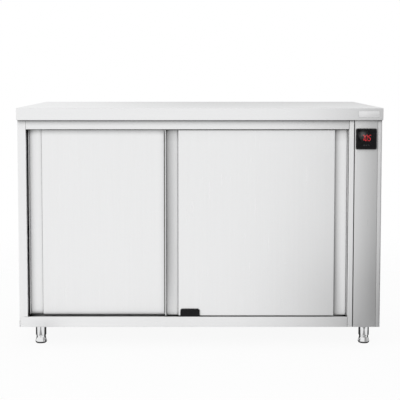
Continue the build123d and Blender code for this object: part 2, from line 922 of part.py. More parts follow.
def shelf_uprights():
    """Four slotted channels on the chamber's side walls."""
    half = upright_width / 2
    height = upright_z[1] - upright_z[0]
    base = Plane.XY.offset(upright_z[0])
    slot_count = int((upright_z[1] - first_slot_z) // slot_pitch) + 1
    slots = [(y, first_slot_z + index * slot_pitch) for y in upright_y for index in range(slot_count)]
    walls = (
        (opening_left, opening_left + upright_depth, Side.RIGHT),
        (opening_right, opening_right - upright_depth, Side.LEFT),
    )
    strips = []
    for wall_x, face_x, side in walls:
        plan = [(wall_x, half), (face_x, half), (face_x, -half), (wall_x, -half)]
        strips.append(folded_sheet(base, plan, body_sheet, height, side))
    with BuildPart() as uprights:
        with Locations([(0, y, 0) for y in upright_y]):
            add(strips)
        for wall_x, face_x, side in walls:
            with BuildSketch(Plane.YZ.offset(face_x)):
                with Locations(slots):
                    Rectangle(slot_width, slot_height)
            extrude(amount=upright_depth / 2, both=True, mode=Mode.SUBTRACT)
    return uprights


def shelf_clips():
    """Four hooks: a tongue in the slot and a ledge below the shelf's skirt."""
    tongue = (ledge_z - clip_play, ledge_z - slot_height + clip_play)
    heel = ledge_z - 2 * clip_ledge
    with BuildPart() as clips:
        for face_x, inward in (
            (opening_left + upright_depth, 1),
            (opening_right - upright_depth, -1),
        ):
            for y in upright_y:
                with BuildSketch(Plane.XZ.offset(-(y + slot_width / 2 - fit_gap))):
                    with BuildLine():
                        Polyline(
                            (face_x - inward * clip_tongue, tongue[0]),
                            (face_x - inward * clip_tongue, tongue[1]),
                            (face_x, tongue[1]),
                            (face_x, heel),
                            (face_x + inward * clip_sheet, heel),
                            (face_x + inward * clip_ledge, ledge_z - clip_sheet),
                            (face_x + inward * clip_ledge, ledge_z),
                            (face_x, ledge_z),
                            (face_x, tongue[0]),
                            close=True,
                        )
                    make_face()
                extrude(amount=slot_width - 2 * fit_gap)
    return clips


# ================================================================ fan and heater
plate_x = opening_right - impeller_plate_gap
blade_x = plate_x - impeller_plate
shaft_start = blade_x - hub_length - shaft_end_length
motor_x = opening_right + body_sheet + motor_standoff
motor_back = motor_x + motor_flange_sheet + motor_stack
shaft_end = motor_back - motor_stack / 2


def fan_plane(x):
    """A plane across the fan's axis, with its middle on the axis."""
    return Plane(origin=(x, fan_y, fan_z), x_dir=(0, 1, 0), z_dir=(1, 0, 0))


def fan_impeller():
    """A back plate with a hub and curved blades, which throws the air out past the heater."""
    with BuildSketch() as blade:
        with BuildLine():
            tip = Vector(blade_outer_radius, 0).rotate(Axis.Z, 35)
            arc = RadiusArc((blade_inner_radius, 0), tip, 1.2 * blade_inner_radius)
            offset(arc, amount=blade_sheet, side=Side.LEFT)
        make_face()
    with BuildPart() as impeller:
        with BuildSketch(fan_plane(blade_x)):
            Circle(impeller_radius)
        extrude(amount=impeller_plate)
        with BuildSketch(fan_plane(blade_x - blade_depth)):
            with PolarLocations(0, blade_count):
                add(blade.sketch)
        extrude(amount=blade_depth)
        with BuildSketch(fan_plane(blade_x - hub_length)):
            Circle(hub_radius)
        extrude(amount=hub_length)
        with BuildSketch(fan_plane(shaft_start)):
            Circle(shaft_radius + pin_gap)
        extrude(amount=plate_x - shaft_start, mode=Mode.SUBTRACT)
    return impeller


def fan_shaft():
    """The motor's shaft with the nut that holds the hub."""
    with BuildPart() as shaft:
        with BuildSketch(fan_plane(shaft_start)):
            Circle(shaft_radius)
        extrude(amount=shaft_end - shaft_start)
        with BuildSketch(fan_plane(blade_x - hub_length - fit_gap)):
            RegularPolygon(radius=shaft_nut_radius, side_count=6)
        extrude(amount=fit_gap - shaft_end_length)
    return shaft


def fan_motor():
    """A shaded-pole motor: square flange, laminated stack, coil below it and a bearing cap behind."""
    half = motor_size / 2
    with BuildPart() as motor:
        with BuildSketch(fan_plane(motor_x)):
            Rectangle(motor_flange, motor_flange)
        extrude(amount=motor_flange_sheet)
        with BuildSketch(fan_plane(motor_x + motor_flange_sheet)):
            Rectangle(motor_size, motor_size)
        extrude(amount=motor_stack)
        with BuildSketch(fan_plane(motor_back)):
            Circle(motor_cap_radius)
        extrude(amount=motor_cap_length)
        with BuildSketch(fan_plane(motor_x + motor_flange_sheet - coil_overhang)):
            with Locations((0, -half - coil_height / 2 + coil_overhang)):
                Rectangle(coil_width, coil_height)
        extrude(amount=motor_stack + 2 * coil_overhang)
        with BuildSketch(fan_plane(motor_x)):
            Circle(shaft_radius + pin_gap)
        extrude(amount=shaft_end - motor_x, mode=Mode.SUBTRACT)
    return motor


def motor_bracket():
    """A plate on the partition with four six-sided posts that carry the motor's flange."""
    corner = motor_flange - 2 * post_inset
    with BuildPart() as bracket:
        with BuildSketch(fan_plane(opening_right + body_sheet)):
            Rectangle(bracket_size, bracket_size)
            Circle(shaft_hole_radius, mode=Mode.SUBTRACT)
        extrude(amount=bracket_sheet)
        with BuildSketch(fan_plane(opening_right + body_sheet + bracket_sheet)):
            with GridLocations(corner, corner, 2, 2):
                RegularPolygon(radius=post_radius, side_count=6)
        extrude(amount=motor_standoff - bracket_sheet)
    return bracket


def heater_ring():
    """A flat-pressed heater tube in an open ring about the impeller, whose two ends pass the partition."""
    start = heater_foot_angles[1]
    radial = Vector(0, 1, 0).rotate(Axis.X, start)
    centre = (heater_plane_x, fan_y, fan_z)
    section = Plane(origin=centre, x_dir=(1, 0, 0), z_dir=Vector(1, 0, 0).cross(radial))
    fan_axis = Axis(centre, (1, 0, 0))
    outside = opening_right + body_sheet
    tail = heater_plane_x - heater_tube_width / 2
    with BuildPart() as heater:
        with BuildSketch(section):
            with Locations((0, heater_radius)):
                Rectangle(heater_tube_width, heater_tube_thickness)
        revolve(axis=fan_axis, revolution_arc=360 - heater_gap_angle)
        for y, z in heater_feet():
            foot = Plane(origin=(tail, y, z), x_dir=(0, 1, 0), z_dir=(1, 0, 0))
            with BuildSketch(foot):
                Rectangle(*heater_foot_section())
            extrude(amount=outside + heater_tail - tail)
            with BuildSketch(foot.offset(outside - tail)):
                Rectangle(heater_seal_size, heater_seal_size)
            extrude(amount=heater_seal_length)
    return heater


def air_guard():
    """The hood over fan and heater: a ring of intake slots in front and outlet slots at its ends."""
    guard_x = opening_right - guard_depth
    inner = (guard_width - 2 * body_sheet, guard_height - 2 * body_sheet)
    with BuildPart() as guard:
        with BuildSketch(fan_plane(opening_right)):
            Rectangle(guard_width, guard_height)
        extrude(amount=-guard_depth)
        chamfer(guard.faces().sort_by(Axis.X)[0].edges(), guard_chamfer)
        with BuildSketch(fan_plane(opening_right)):
            Rectangle(guard_width + 2 * guard_flange, guard_height + 2 * guard_flange)
        extrude(amount=-body_sheet)
        with BuildSketch(fan_plane(opening_right)):
            Rectangle(*inner)
        extrude(amount=-(guard_depth - guard_chamfer), mode=Mode.SUBTRACT)
        with BuildSketch(fan_plane(guard_x + guard_chamfer)):
            Rectangle(*inner)
        extrude(amount=-(guard_chamfer - body_sheet), taper=45, mode=Mode.SUBTRACT)
        with BuildSketch(fan_plane(guard_x)):
            with PolarLocations((guard_slot_inner + guard_slot_outer) / 2, guard_slot_count):
                Rectangle(guard_slot_outer - guard_slot_inner, guard_slot_width)
        extrude(amount=body_sheet, mode=Mode.SUBTRACT)
        with BuildSketch(Plane.XZ.offset(guard_width / 2 - fan_y)):
            with Locations((opening_right - guard_depth / 2, fan_z)):
                with GridLocations(1, guard_outlet_pitch, 1, guard_outlet_count):
                    Rectangle(guard_depth - 20, guard_slot_width)
        extrude(amount=-guard_width, mode=Mode.SUBTRACT)
    return guard


# ================================================================ control column's contents
bezel_y = front_y - controller_proud


def controller_housing():
    """A panel controller: an eased bezel with a recess for its screen, and a square body."""
    screen = controller_size - 2 * screen_border
    middle = (controller_x, controller_z)
    with BuildPart() as housing:
        with BuildSketch(Plane.XZ.offset(-bezel_y)):
            with Locations(middle):
                Rectangle(controller_size, controller_size)
        extrude(amount=-controller_proud)
        chamfer(housing.edges().filter_by(Axis.Y), controller_corner)
        chamfer(housing.faces().sort_by(Axis.Y)[0].edges(), edge_ease)
        with BuildSketch(Plane.XZ.offset(-bezel_y)):
            with Locations(middle):
                Rectangle(screen, screen)
        extrude(amount=-screen_depth, mode=Mode.SUBTRACT)
        with BuildSketch(Plane.XZ.offset(-front_y)):
            with Locations(middle):
                Rectangle(controller_body, controller_body)
        extrude(amount=-controller_depth)
        clip_y = (front_y + body_sheet, front_y + clip_length)
        clip_z = (controller_z - clip_width / 2, controller_z + clip_width / 2)
        for side in (-1, 1):
            clip_x = controller_x + side * (controller_body / 2)
            span_box(sorted((clip_x, clip_x + side * clip_height)), clip_y, clip_z)
    return housing


def controller_screen():
    """The glass plate in the bezel's recess."""
    size = controller_size - 2 * screen_border - 2 * pin_gap
    with BuildPart() as screen:
        with BuildSketch(Plane.XZ.offset(-(bezel_y + screen_depth))):
            with Locations((controller_x, controller_z)):
                Rectangle(size, size)
        extrude(amount=screen_depth - fit_gap)
    return screen


def temperature_probe():
    """A sheathed sensor through the partition, with its hexagon on the column's side."""
    tip = Plane(origin=(opening_right - probe_length, *probe_place), x_dir=(0, 1, 0), z_dir=(1, 0, 0))
    with BuildPart() as probe:
        with BuildSketch(tip):
            Circle(probe_radius)
        extrude(amount=probe_length + body_sheet)
        with BuildSketch(tip.offset(probe_length + body_sheet)):
            RegularPolygon(radius=probe_hex_radius, side_count=6)
        extrude(amount=probe_hex_length)
    return probe


def overheat_cutout():
    """A disc thermostat on the partition, with two ears and two tabs."""
    seat = Plane(origin=(opening_right + body_sheet, *cutout_place), x_dir=(0, 1, 0), z_dir=(1, 0, 0))
    with BuildPart() as cutout:
        with BuildSketch(seat):
            Circle(cutout_radius)
        extrude(amount=cutout_height)
        with BuildSketch(seat):
            Rectangle(3 * cutout_radius, 0.8 * cutout_radius)
        extrude(amount=cutout_ear)
        with BuildSketch(seat.offset(cutout_height)):
            with GridLocations(cutout_radius, 1, 2, 1):
                Rectangle(cutout_ear, 6 * cutout_ear)
        extrude(amount=7 * cutout_ear)
    return cutout


def terminal_block():
    """A row of clamped poles with a barrier between each pair, on the base pan."""
    length = terminal_poles * terminal_pitch
    middle = (controller_x, front_y + terminal_setback)
    body_z = pan_top + terminal_foot
    crest_z = body_z + terminal_body
    barrier = terminal_pitch / 7
    with BuildPart() as block:
        with BuildSketch(Plane.XY.offset(pan_top)):
            with Locations(middle):
                Rectangle(terminal_width + 8, length + terminal_pitch)
        extrude(amount=terminal_foot)
        with BuildSketch(Plane.XY.offset(body_z)):
            with Locations(middle):
                Rectangle(terminal_width, length)
        extrude(amount=terminal_body)
        with BuildSketch(Plane.XY.offset(crest_z)):
            with Locations(middle):
                with GridLocations(1, terminal_pitch, 1, terminal_poles + 1):
                    Rectangle(terminal_width, barrier)
        extrude(amount=terminal_foot)
        with BuildSketch(Plane.XY.offset(crest_z)):
            with Locations(middle):
                with GridLocations(terminal_width / 2, terminal_pitch, 2, terminal_poles):
                    Rectangle(terminal_width / 4, terminal_pitch / 2)
        extrude(amount=-terminal_body / 2, mode=Mode.SUBTRACT)
    return block


def cable_gland():
    """A gland through the base pan: two hexagons below, thread and lock nut above, and the cord's hole."""
    below = Plane(origin=(*gland_place, body_bottom))
    with BuildPart() as gland:
        with BuildSketch(below):
            RegularPolygon(radius=gland_hex / 2, side_count=6)
        extrude(amount=-gland_collar)
        with BuildSketch(below.offset(-gland_collar)):
            RegularPolygon(radius=gland_cap / 2, side_count=6)
        extrude(amount=-gland_dome)
        with BuildSketch(below):
            Circle(gland_thread_radius)
        extrude(amount=pan_sheet)
        with BuildSketch(below.offset(pan_sheet)):
            RegularPolygon(radius=gland_hex / 2, side_count=6)
        extrude(amount=gland_nut)
        with BuildSketch(below.offset(-gland_collar - gland_dome)):
            Circle(gland_bore_radius)
        extrude(amount=gland_collar + gland_dome + pan_sheet + gland_nut, mode=Mode.SUBTRACT)
    return gland


# ================================================================ legs and feet
def leg_plates():
    """Doubler plates on the base pan above the legs."""
    with BuildPart() as plates:
        with BuildSketch(Plane.XY.offset(pan_top)):
            with Locations(leg_places):
                Rectangle(leg_plate_size, leg_plate_size)
        extrude(amount=leg_plate_thickness)
    return plates


def leg_tubes():
    """Four round legs, welded to the base pan's underside."""
    with BuildPart() as tubes:
        with BuildSketch(Plane.XY.offset(foot_height)):
            with Locations(leg_places):
                Circle(leg_radius)
                Circle(leg_radius - leg_wall, mode=Mode.SUBTRACT)
        extrude(amount=body_bottom - foot_height)
    return tubes


def leg_inserts():
    """Threaded plugs in the legs' lower ends, which guide the feet's spindles."""
    with BuildPart() as inserts:
        with BuildSketch(Plane.XY.offset(foot_height)):
            with Locations(leg_places):
                Circle(leg_radius - leg_wall - pin_gap)
                Circle(spindle_radius + pin_gap, mode=Mode.SUBTRACT)
        extrude(amount=insert_height)
    return inserts


def foot(x, y):
    """An adjustable foot: rounded base, waisted neck and the spindle inside the leg."""
    top = foot_height + spindle_engagement
    neck_top = foot_height - fit_gap
    outline = [
        (0, 0),
        (foot_land_radius, 0),
        (foot_base_radius, foot_base_height),
        (foot_neck_radius, foot_neck_height),
        (foot_neck_radius, neck_top),
        (spindle_radius, neck_top),
        (spindle_radius, top),
        (0, top),
    ]
    with BuildPart() as piece:
        with BuildSketch(Plane(origin=(x, y, 0), x_dir=(1, 0, 0), z_dir=(0, -1, 0))):
            with BuildLine():
                Polyline(*outline, close=True)
            make_face()
        revolve(axis=Axis((x, y, 0), (0, 0, 1)))
    return piece


# ================================================================ finished pieces
fixed_pieces = [
    worktop_skin,
    worktop_core,
    worktop_stiffeners,
    left_side_panel,
    right_side_panel,
    back_panel,
    service_cover,
    rear_top_rail,
    header_rail,
    bottom_rail,
    control_post,
    control_fascia,
    base_pan,
    base_channels,
    chamber_left_wall,
    chamber_partition,
    chamber_back_wall,
    chamber_floor,
    chamber_ceiling,
    insulation,
    door_track,
    track_bumpers,
    bottom_guide,
    shelf,
    shelf_uprights,
    shelf_clips,
    fan_impeller,
    fan_shaft,
    fan_motor,
    motor_bracket,
    heater_ring,
    air_guard,
    controller_housing,
    controller_screen,
    temperature_probe,
    overheat_cutout,
    terminal_block,
    cable_gland,
    leg_plates,
    leg_tubes,
    leg_inserts,
]
for make_piece in fixed_pieces:
    keep(make_piece(), make_piece.__name__)

for side, door_x, face_y in (("left", rear_door_x, rear_face_y), ("right", front_door_x, front_face_y)):
    keep(door_skin(door_x, face_y), f"{side}_door_skin")
    keep(door_pan(door_x, face_y), f"{side}_door_pan")
    keep(door_core(door_x, face_y), f"{side}_door_core")
    keep(door_hangers(door_x, face_y), f"{side}_door_hangers")
    keep(door_axles(door_x, face_y), f"{side}_door_axles")
    ends = ("outer", "inner") if side == "left" else ("inner", "outer")
    for end, centre_x in zip(ends, hanger_centres(door_x)):
        keep(roller(centre_x, face_y), f"{side}_door_roller_{end}")

for row, y in zip(("front", "rear"), leg_y):
    for side, x in zip(("left", "right"), leg_x):
        keep(foot(x, y), f"foot_{row}_{side}")
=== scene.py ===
import json
import math

import bmesh
import bpy
import numpy as np
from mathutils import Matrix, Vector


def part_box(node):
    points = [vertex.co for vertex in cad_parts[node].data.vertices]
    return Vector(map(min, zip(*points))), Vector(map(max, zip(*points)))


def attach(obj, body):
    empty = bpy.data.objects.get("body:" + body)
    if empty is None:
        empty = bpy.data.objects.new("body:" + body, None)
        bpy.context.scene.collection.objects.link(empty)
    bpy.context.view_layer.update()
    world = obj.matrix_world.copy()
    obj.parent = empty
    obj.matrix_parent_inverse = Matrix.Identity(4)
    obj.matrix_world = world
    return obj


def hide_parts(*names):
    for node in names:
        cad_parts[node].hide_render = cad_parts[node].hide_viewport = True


bl_info = {
    "name": "Plate warmer cabinet",
    "version": (1, 0, 0),
    "blender": (4, 5, 0),
    "location": "3D Viewport > Sidebar > Cabinet",
    "description": "Finishes, feet, fasteners, display and studio for a heated plate cabinet",
    "category": "Object",
}

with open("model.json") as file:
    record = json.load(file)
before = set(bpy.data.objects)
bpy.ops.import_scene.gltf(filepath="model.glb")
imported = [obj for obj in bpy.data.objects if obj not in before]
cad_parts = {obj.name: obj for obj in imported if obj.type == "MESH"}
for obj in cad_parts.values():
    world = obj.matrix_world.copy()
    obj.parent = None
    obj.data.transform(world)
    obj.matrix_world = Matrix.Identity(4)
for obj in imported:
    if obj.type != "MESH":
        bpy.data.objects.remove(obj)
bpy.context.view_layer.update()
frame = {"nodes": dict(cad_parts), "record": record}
nodes = frame["nodes"]
MM = 0.001
WHITE, BLACK = (1.0, 1.0, 1.0, 1.0), (0.0, 0.0, 0.0, 1.0)
# Added to a surface's normal, so that the painted shade in folds is lightest towards the upper left front,
# as if lit from there.
LIGHT_LEAN = (-0.32, -0.15, 0.5)


# ---------------------------------------------------------------- sizes and colours
def length(name, default, note):
    """A length that a user may change, in metres."""
    return bpy.props.FloatProperty(
        name=name, description=note, default=default, min=0.0, max=2.0, unit="LENGTH", precision=5
    )


def colour(name, default, note):
    """A colour that a user may change."""
    return bpy.props.FloatVectorProperty(
        name=name, description=note, default=default, min=0.0, max=1.0, size=3, subtype="COLOR"
    )


class CabinetSizes(bpy.types.PropertyGroup):
    """Sizes of the pieces that are added to the cabinet."""

    badge_width: length("Badge width", 0.075, "Width of the bare badge on the worktop's apron")
    badge_height: length("Badge height", 0.0232, "Height of the bare badge")
    badge_end_gap: length("Badge end gap", 0.0133, "From the badge to the worktop's right end")
    badge_thickness: length("Badge thickness", 0.0004, "How far the badge stands off the apron")
    digit_height: length("Digit height", 0.0195, "Height of the display's digits")
    digit_width: length("Digit width", 0.0072, "Width of one digit between its upright segments")
    digit_pitch: length("Digit pitch", 0.0114, "Spacing of the digits")
    digit_slant: bpy.props.FloatProperty(
        name="Digit slant", description="Lean of the digits", default=0.21, subtype="ANGLE", unit="ROTATION"
    )
    shown_value: bpy.props.StringProperty(
        name="Shown value", description="Temperature on the display, three digits", default="705"
    )
    seal_reach: length("Seal reach", 0.0033, "How far the door seal shows beyond the door's edge")
    screw_radius: length("Screw head radius", 0.0038, "Radius of the pan-head screws")
    rivet_radius: length("Rivet head radius", 0.0031, "Radius of the blind rivets")
    rivet_pitch: length("Rivet pitch", 0.16, "Spacing of the rivets round the back panel")
    thread_pitch: length("Thread pitch", 0.002, "Pitch of the thread on the feet's spindles")
    bead_radius: length("Weld bead radius", 0.0021, "Radius of the weld bead round each leg")


class CabinetColours(bpy.types.PropertyGroup):
    """Colours of the finishes and of the studio."""

    stainless: colour("Stainless", (0.865, 0.867, 0.87), "Brushed sheet of the cabinet")
    polished: colour("Polished stainless", (0.92, 0.921, 0.924), "Legs and feet")
    badge: colour("Badge", (0.97, 0.97, 0.975), "Satin aluminium of the badge")
    plastic: colour("Black plastic", (0.008, 0.008, 0.009), "Controller and door guide")
    digits: colour("Digits", (0.72, 0.03, 0.04), "Lit segments of the display")
    floor: colour("Floor", (0.93, 0.93, 0.93), "Studio floor")


# ---------------------------------------------------------------- shader expressions
class Signal:
    """A shader socket. Arithmetic on it adds Math nodes to the same node tree."""

    def __init__(self, graph, socket):
        self.graph = graph
        self.socket = socket

    def math(self, operation, *values, **settings):
        sockets = dict(enumerate((self,) + values))
        return self.graph.node("ShaderNodeMath", {"operation": operation, **settings}, sockets)

    def __add__(self, other):
        return self.math("ADD", other)

    __radd__ = __add__

    def __sub__(self, other):
        return self.math("SUBTRACT", other)

    def __rsub__(self, other):
        return self.math("MULTIPLY", -1.0) + other

    def __mul__(self, other):
        return self.math("MULTIPLY", other)

    def __pow__(self, other):
        return self.math("POWER", other)

    def step(self, low, high, kind="SMOOTHSTEP"):
        """0 below low, 1 above high and smooth between, or straight between as a LINEAR step."""
        sockets = {"Value": self, "From Min": low, "From Max": high}
        return self.graph.node("ShaderNodeMapRange", {"interpolation_type": kind}, sockets)


class Graph:
    """A node tree that is filled from expressions."""

    def __init__(self, tree):
        self.tree = tree
        tree.nodes.clear()

    def node(self, kind, settings=None, sockets=None, out=0):
        """Adds a node: its settings first, then the values or links of its sockets. Sockets that
        share a name are given by their place."""
        made = self.tree.nodes.new(kind)
        for name, value in (settings or {}).items():
            if name == "stops":
                self.set_stops(made.color_ramp.elements, value)
            else:
                setattr(made, name, value)
        for name, value in (sockets or {}).items():
            if isinstance(value, Signal):
                self.tree.links.new(value.socket, made.inputs[name])
            else:
                made.inputs[name].default_value = value
        return Signal(self, made.outputs[out]) if made.outputs else None

    @staticmethod
    def set_stops(elements, stops):
        while len(elements) < len(stops):
            elements.new(1.0)
        for element, (place, tone) in zip(elements, stops):
            element.position = place
            element.color = (*tone, 1.0)

    def coords(self, scale):
        """Object coordinates in metres, times one scale or a scale for each axis."""
        place = self.node("ShaderNodeTexCoord", out="Object")
        scale = scale if isinstance(scale, tuple) else (scale,) * 3
        return self.node("ShaderNodeVectorMath", {"operation": "MULTIPLY"}, {0: place, 1: scale})

    def axis(self, name):
        """One object coordinate in metres."""
        place = self.node("ShaderNodeTexCoord", out="Object")
        return self.node("ShaderNodeSeparateXYZ", None, {0: place}, name)

    def noise(self, scale, detail=2.0, rough=0.5):
        """Noise about 0.5 whose features are 1 / scale metres, or so on each axis."""
        sockets = {"Vector": self.coords(scale), "Scale": 1.0, "Detail": detail, "Roughness": rough}
        return self.node("ShaderNodeTexNoise", None, sockets)

    def cells(self, scale, out="Color", feature="F1"):
        """Voronoi cells that are 1 / scale metres across."""
        sockets = {"Vector": self.coords(scale), "Scale": 1.0}
        return self.node("ShaderNodeTexVoronoi", {"feature": feature}, sockets, out)

    def mix(self, factor, first, second):
        """A colour between two colours."""
        first, second = ((*c, 1.0) if isinstance(c, tuple) else c for c in (first, second))
        return self.node("ShaderNodeMix", {"data_type": "RGBA"}, {0: factor, 6: first, 7: second}, 2)

    def blend(self, factor, first, second):
        """A shader between two shaders."""
        return self.node("ShaderNodeMixShader", None, {0: factor, 1: first, 2: second})

    def painted_light_share(self, reach, joint_reach):
        """Painted light and shade from ambient occlusion: near 1 where the surface is open to the upper
        left front, falling to 0 in folds, and in a narrower band at joints."""
        normal = self.node("ShaderNodeNewGeometry", out="Normal")
        leaned = self.node("ShaderNodeVectorMath", {"operation": "ADD"}, {0: normal, 1: LIGHT_LEAN})
        open_side = self.node(
            "ShaderNodeAmbientOcclusion", {"samples": 6}, {"Distance": reach, "Normal": leaned}, "AO"
        )
        joint = self.node("ShaderNodeAmbientOcclusion", {"samples": 4}, {"Distance": joint_reach}, "AO")
        return open_side.step(0.0, 0.93) ** 0.85 * joint.step(0.1, 0.95) ** 2.4

    def relief(self, height, depth, strength=1.0, base=None):
        """A bumped normal from a height between 0 and 1 that stands for a depth in metres."""
        sockets = {"Height": height, "Distance": depth, "Strength": strength}
        if base:
            sockets["Normal"] = base
        return self.node("ShaderNodeBump", None, sockets)

    def eased(self, radius):
        """The normal of edges that are rounded by a radius."""
        return self.node("ShaderNodeBevel", {"samples": 4}, {"Radius": radius})


def material(name, surface):
    """A material whose surface is what surface(graph) returns."""
    made = bpy.data.materials.new(name)
    made.use_nodes = True
    graph = Graph(made.node_tree)
    graph.node("ShaderNodeOutputMaterial", None, {"Surface": surface(graph)})
    return made


def finish(name, build):
    """A material whose Principled sockets are what build(graph) returns."""
    return material(name, lambda graph: graph.node("ShaderNodeBsdfPrincipled", None, build(graph)))


def shade(tone, factor):
    """A colour made lighter or darker."""
    return tuple(min(1.0, channel * factor) for channel in tone)


# ---------------------------------------------------------------- finishes
def brushed(name, tone, grain, rough=0.34, edge=0.0016, bends=(), metallic=1.0, joint=0.0095,
            reach=0.045):
    """Sheet ground along one axis: fine lines, broader bands, wiping marks and a few scratches, with
    painted shade in folds and joints, as far out as reach and joint say, lightest towards the upper
    left front. Its corners are eased by edge in the normal. A bend (start, width, slope, lean) is a
    stretch of X from start to start + width whose height is slope * width * (t t - lean t) with t
    from 0 to 1, as sheet is never flat."""

    def along(fine, long):
        return tuple(long if axis == grain else fine for axis in "XYZ")

    def build(graph):
        lines = graph.noise(along(1100.0, 16.0))
        bands = graph.noise(along(160.0, 3.0))
        wiping = graph.noise(5.0, 4.0, 0.6)
        scratches = graph.noise(along(420.0, 9.0), 1.0).step(0.71, 0.76)
        tint = lines * 0.35 + bands * 0.35 + wiping * 0.3
        body = graph.mix(tint.step(0.25, 0.75), shade(tone, 0.985), shade(tone, 1.015))
        marked = graph.mix(scratches * 0.3, body, shade(tone, 1.06))
        sheet = graph.eased(edge) if edge else None
        for start, width, slope, lean in bends:
            along_bend = graph.axis("X").step(start, start + width, "LINEAR")
            height = (along_bend * along_bend - along_bend * lean) * (slope * width)
            sheet = graph.relief(height, 1.0, base=sheet)
        return {
            # Painted shade: the colour falls to near black in folds and joints.
            "Base Color": graph.mix(graph.painted_light_share(reach, joint), shade(tone, 0.02), marked),
            "Metallic": metallic,
            "Roughness": lines * 0.1 + wiping * 0.1 + (rough - 0.1) - scratches * 0.06,
            "Normal": graph.relief(lines * 0.75 + bands * 0.25, 0.00008, base=sheet),
        }

    return finish(name, build)


def polished(tone):
    """Tube and turned feet, buffed until single turning marks are left."""

    def build(graph):
        rings = graph.noise((60.0, 60.0, 1500.0))
        haze = graph.noise(70.0, 3.0)
        return {
            "Base Color": graph.mix(haze.step(0.3, 0.75), shade(tone, 0.95), tone),
            "Metallic": 1.0,
            "Roughness": haze * 0.12 + rings * 0.06 + 0.03,
            "Normal": graph.relief(rings, 0.00002),
        }

    return finish("polished_stainless", build)


def galvanised(tone):
    """Zinc-coated sheet: crystals of different greys with a dull white bloom."""

    def build(graph):
        crystal = graph.cells(75.0, "Distance")
        grey = graph.node("ShaderNodeRGBToBW", None, {0: graph.cells(75.0)})
        bloom = graph.noise(14.0, 5.0, 0.65).step(0.5, 0.8)
        crystals = graph.mix(grey, shade(tone, 0.82), shade(tone, 1.15))
        return {
            "Base Color": graph.mix(bloom * 0.5, crystals, shade(tone, 1.25)),
            "Metallic": 0.9 - bloom * 0.3,
            "Roughness": grey * 0.16 + bloom * 0.15 + 0.3,
            "Normal": graph.relief(crystal, 0.0002, 0.4),
        }

    return finish("galvanised_sheet", build)


def satin_metal(name, tone, rough, metallic=1.0):
    """Cast or stamped metal with a fine even tooth and dulled patches."""

    def build(graph):
        tooth = graph.noise(1500.0, 3.0)
        patches = graph.noise(45.0, 4.0, 0.6)
        return {
            "Base Color": graph.mix(patches.step(0.3, 0.7), shade(tone, 0.88), shade(tone, 1.08)),
            "Metallic": metallic,
            "Roughness": patches * 0.15 + tooth * 0.08 + (rough - 0.11),
            "Normal": graph.relief(tooth, 0.00006),
        }

    return finish(name, build)


def heat_tinted(name, tone, straw, blue):
    """Steel that has been red hot: dark oxide with straw and blue bands."""

    def build(graph):
        heat = graph.noise(55.0, 3.0, 0.55)
        scale = graph.noise(900.0, 3.0)
        stops = ((0.3, tone), (0.46, straw), (0.6, blue), (0.75, shade(tone, 1.2)))
        return {
            "Base Color": graph.node("ShaderNodeValToRGB", {"stops": stops}, {0: heat}),
            "Metallic": 1.0,
            "Roughness": heat * 0.2 + scale * 0.15 + 0.28,
            "Normal": graph.relief(scale, 0.00008),
        }

    return finish(name, build)


def moulded(name, tone, rough, tooth_scale=1400.0, tooth_depth=0.00008, sheen=0.5):
    """Moulded plastic or rubber: a fine grain from the mould, rubbed shiny in places, with dust."""

    def build(graph):
        tooth = graph.noise(tooth_scale)
        rubbed = graph.noise(28.0, 4.0, 0.6)
        dust = graph.noise(210.0, 4.0, 0.7).step(0.6, 0.85)
        dusty = tuple(channel * 0.85 + 0.02 for channel in tone)
        worn = graph.mix(rubbed, shade(tone, 0.85), shade(tone, 1.2))
        return {
            "Base Color": graph.mix(dust * 0.35, worn, dusty),
            "Roughness": rough + tooth * 0.12 - rubbed * 0.12 + dust * 0.1,
            "Normal": graph.relief(tooth, tooth_depth),
            "Specular IOR Level": sheen,
        }

    return finish(name, build)


def display_glass():
    """The dark window over the display, with faint fingermarks."""

    def build(graph):
        fingers = graph.noise(90.0, 4.0, 0.6).step(0.45, 0.75)
        return {
            "Base Color": graph.mix(fingers, (0.004, 0.004, 0.005), (0.009, 0.009, 0.01)),
            "Roughness": fingers * 0.06 + 0.03,
            "Normal": graph.relief(graph.noise(40.0), 0.00001),
            "Specular IOR Level": 0.14,
        }

    return finish("display_glass", build)


def lit_segments(tone):
    """Light-emitting segments behind a diffusing film."""

    def build(graph):
        grain = graph.noise(2500.0)
        return {
            "Base Color": shade(tone, 0.6) + (1.0,),
            "Roughness": grain * 0.1 + 0.35,
            "Emission Color": graph.mix(grain.step(0.2, 0.8), shade(tone, 0.85), tone),
            "Emission Strength": 1.0,
        }

    return finish("lit_segments", build)


def board():
    """Pressed wood board: chips of different browns."""

    def build(graph):
        chips = graph.cells((140.0, 260.0, 300.0))
        fibres = graph.noise((500.0, 900.0, 900.0), 4.0)
        grey = graph.node("ShaderNodeRGBToBW", None, {0: chips})
        return {
            "Base Color": graph.mix(grey * 0.6 + fibres * 0.4, (0.36, 0.27, 0.17), (0.62, 0.5, 0.35)),
            "Roughness": fibres * 0.2 + 0.7,
            "Normal": graph.relief(fibres, 0.0004),
        }

    return finish("pressed_board", build)


def honeycomb():
    """Kraft paper honeycomb: cells that run through the door."""

    def build(graph):
        walls = graph.cells((70.0, 1.0, 70.0), "Distance", "DISTANCE_TO_EDGE").step(0.02, 0.09)
        fibres = graph.noise(800.0, 3.0)
        return {
            "Base Color": graph.mix(walls, (0.5, 0.38, 0.24), (0.23, 0.17, 0.1)),
            "Roughness": fibres * 0.15 + 0.75,
            "Normal": graph.relief(1.0 - walls, 0.002, 0.8),
        }

    return finish("kraft_honeycomb", build)


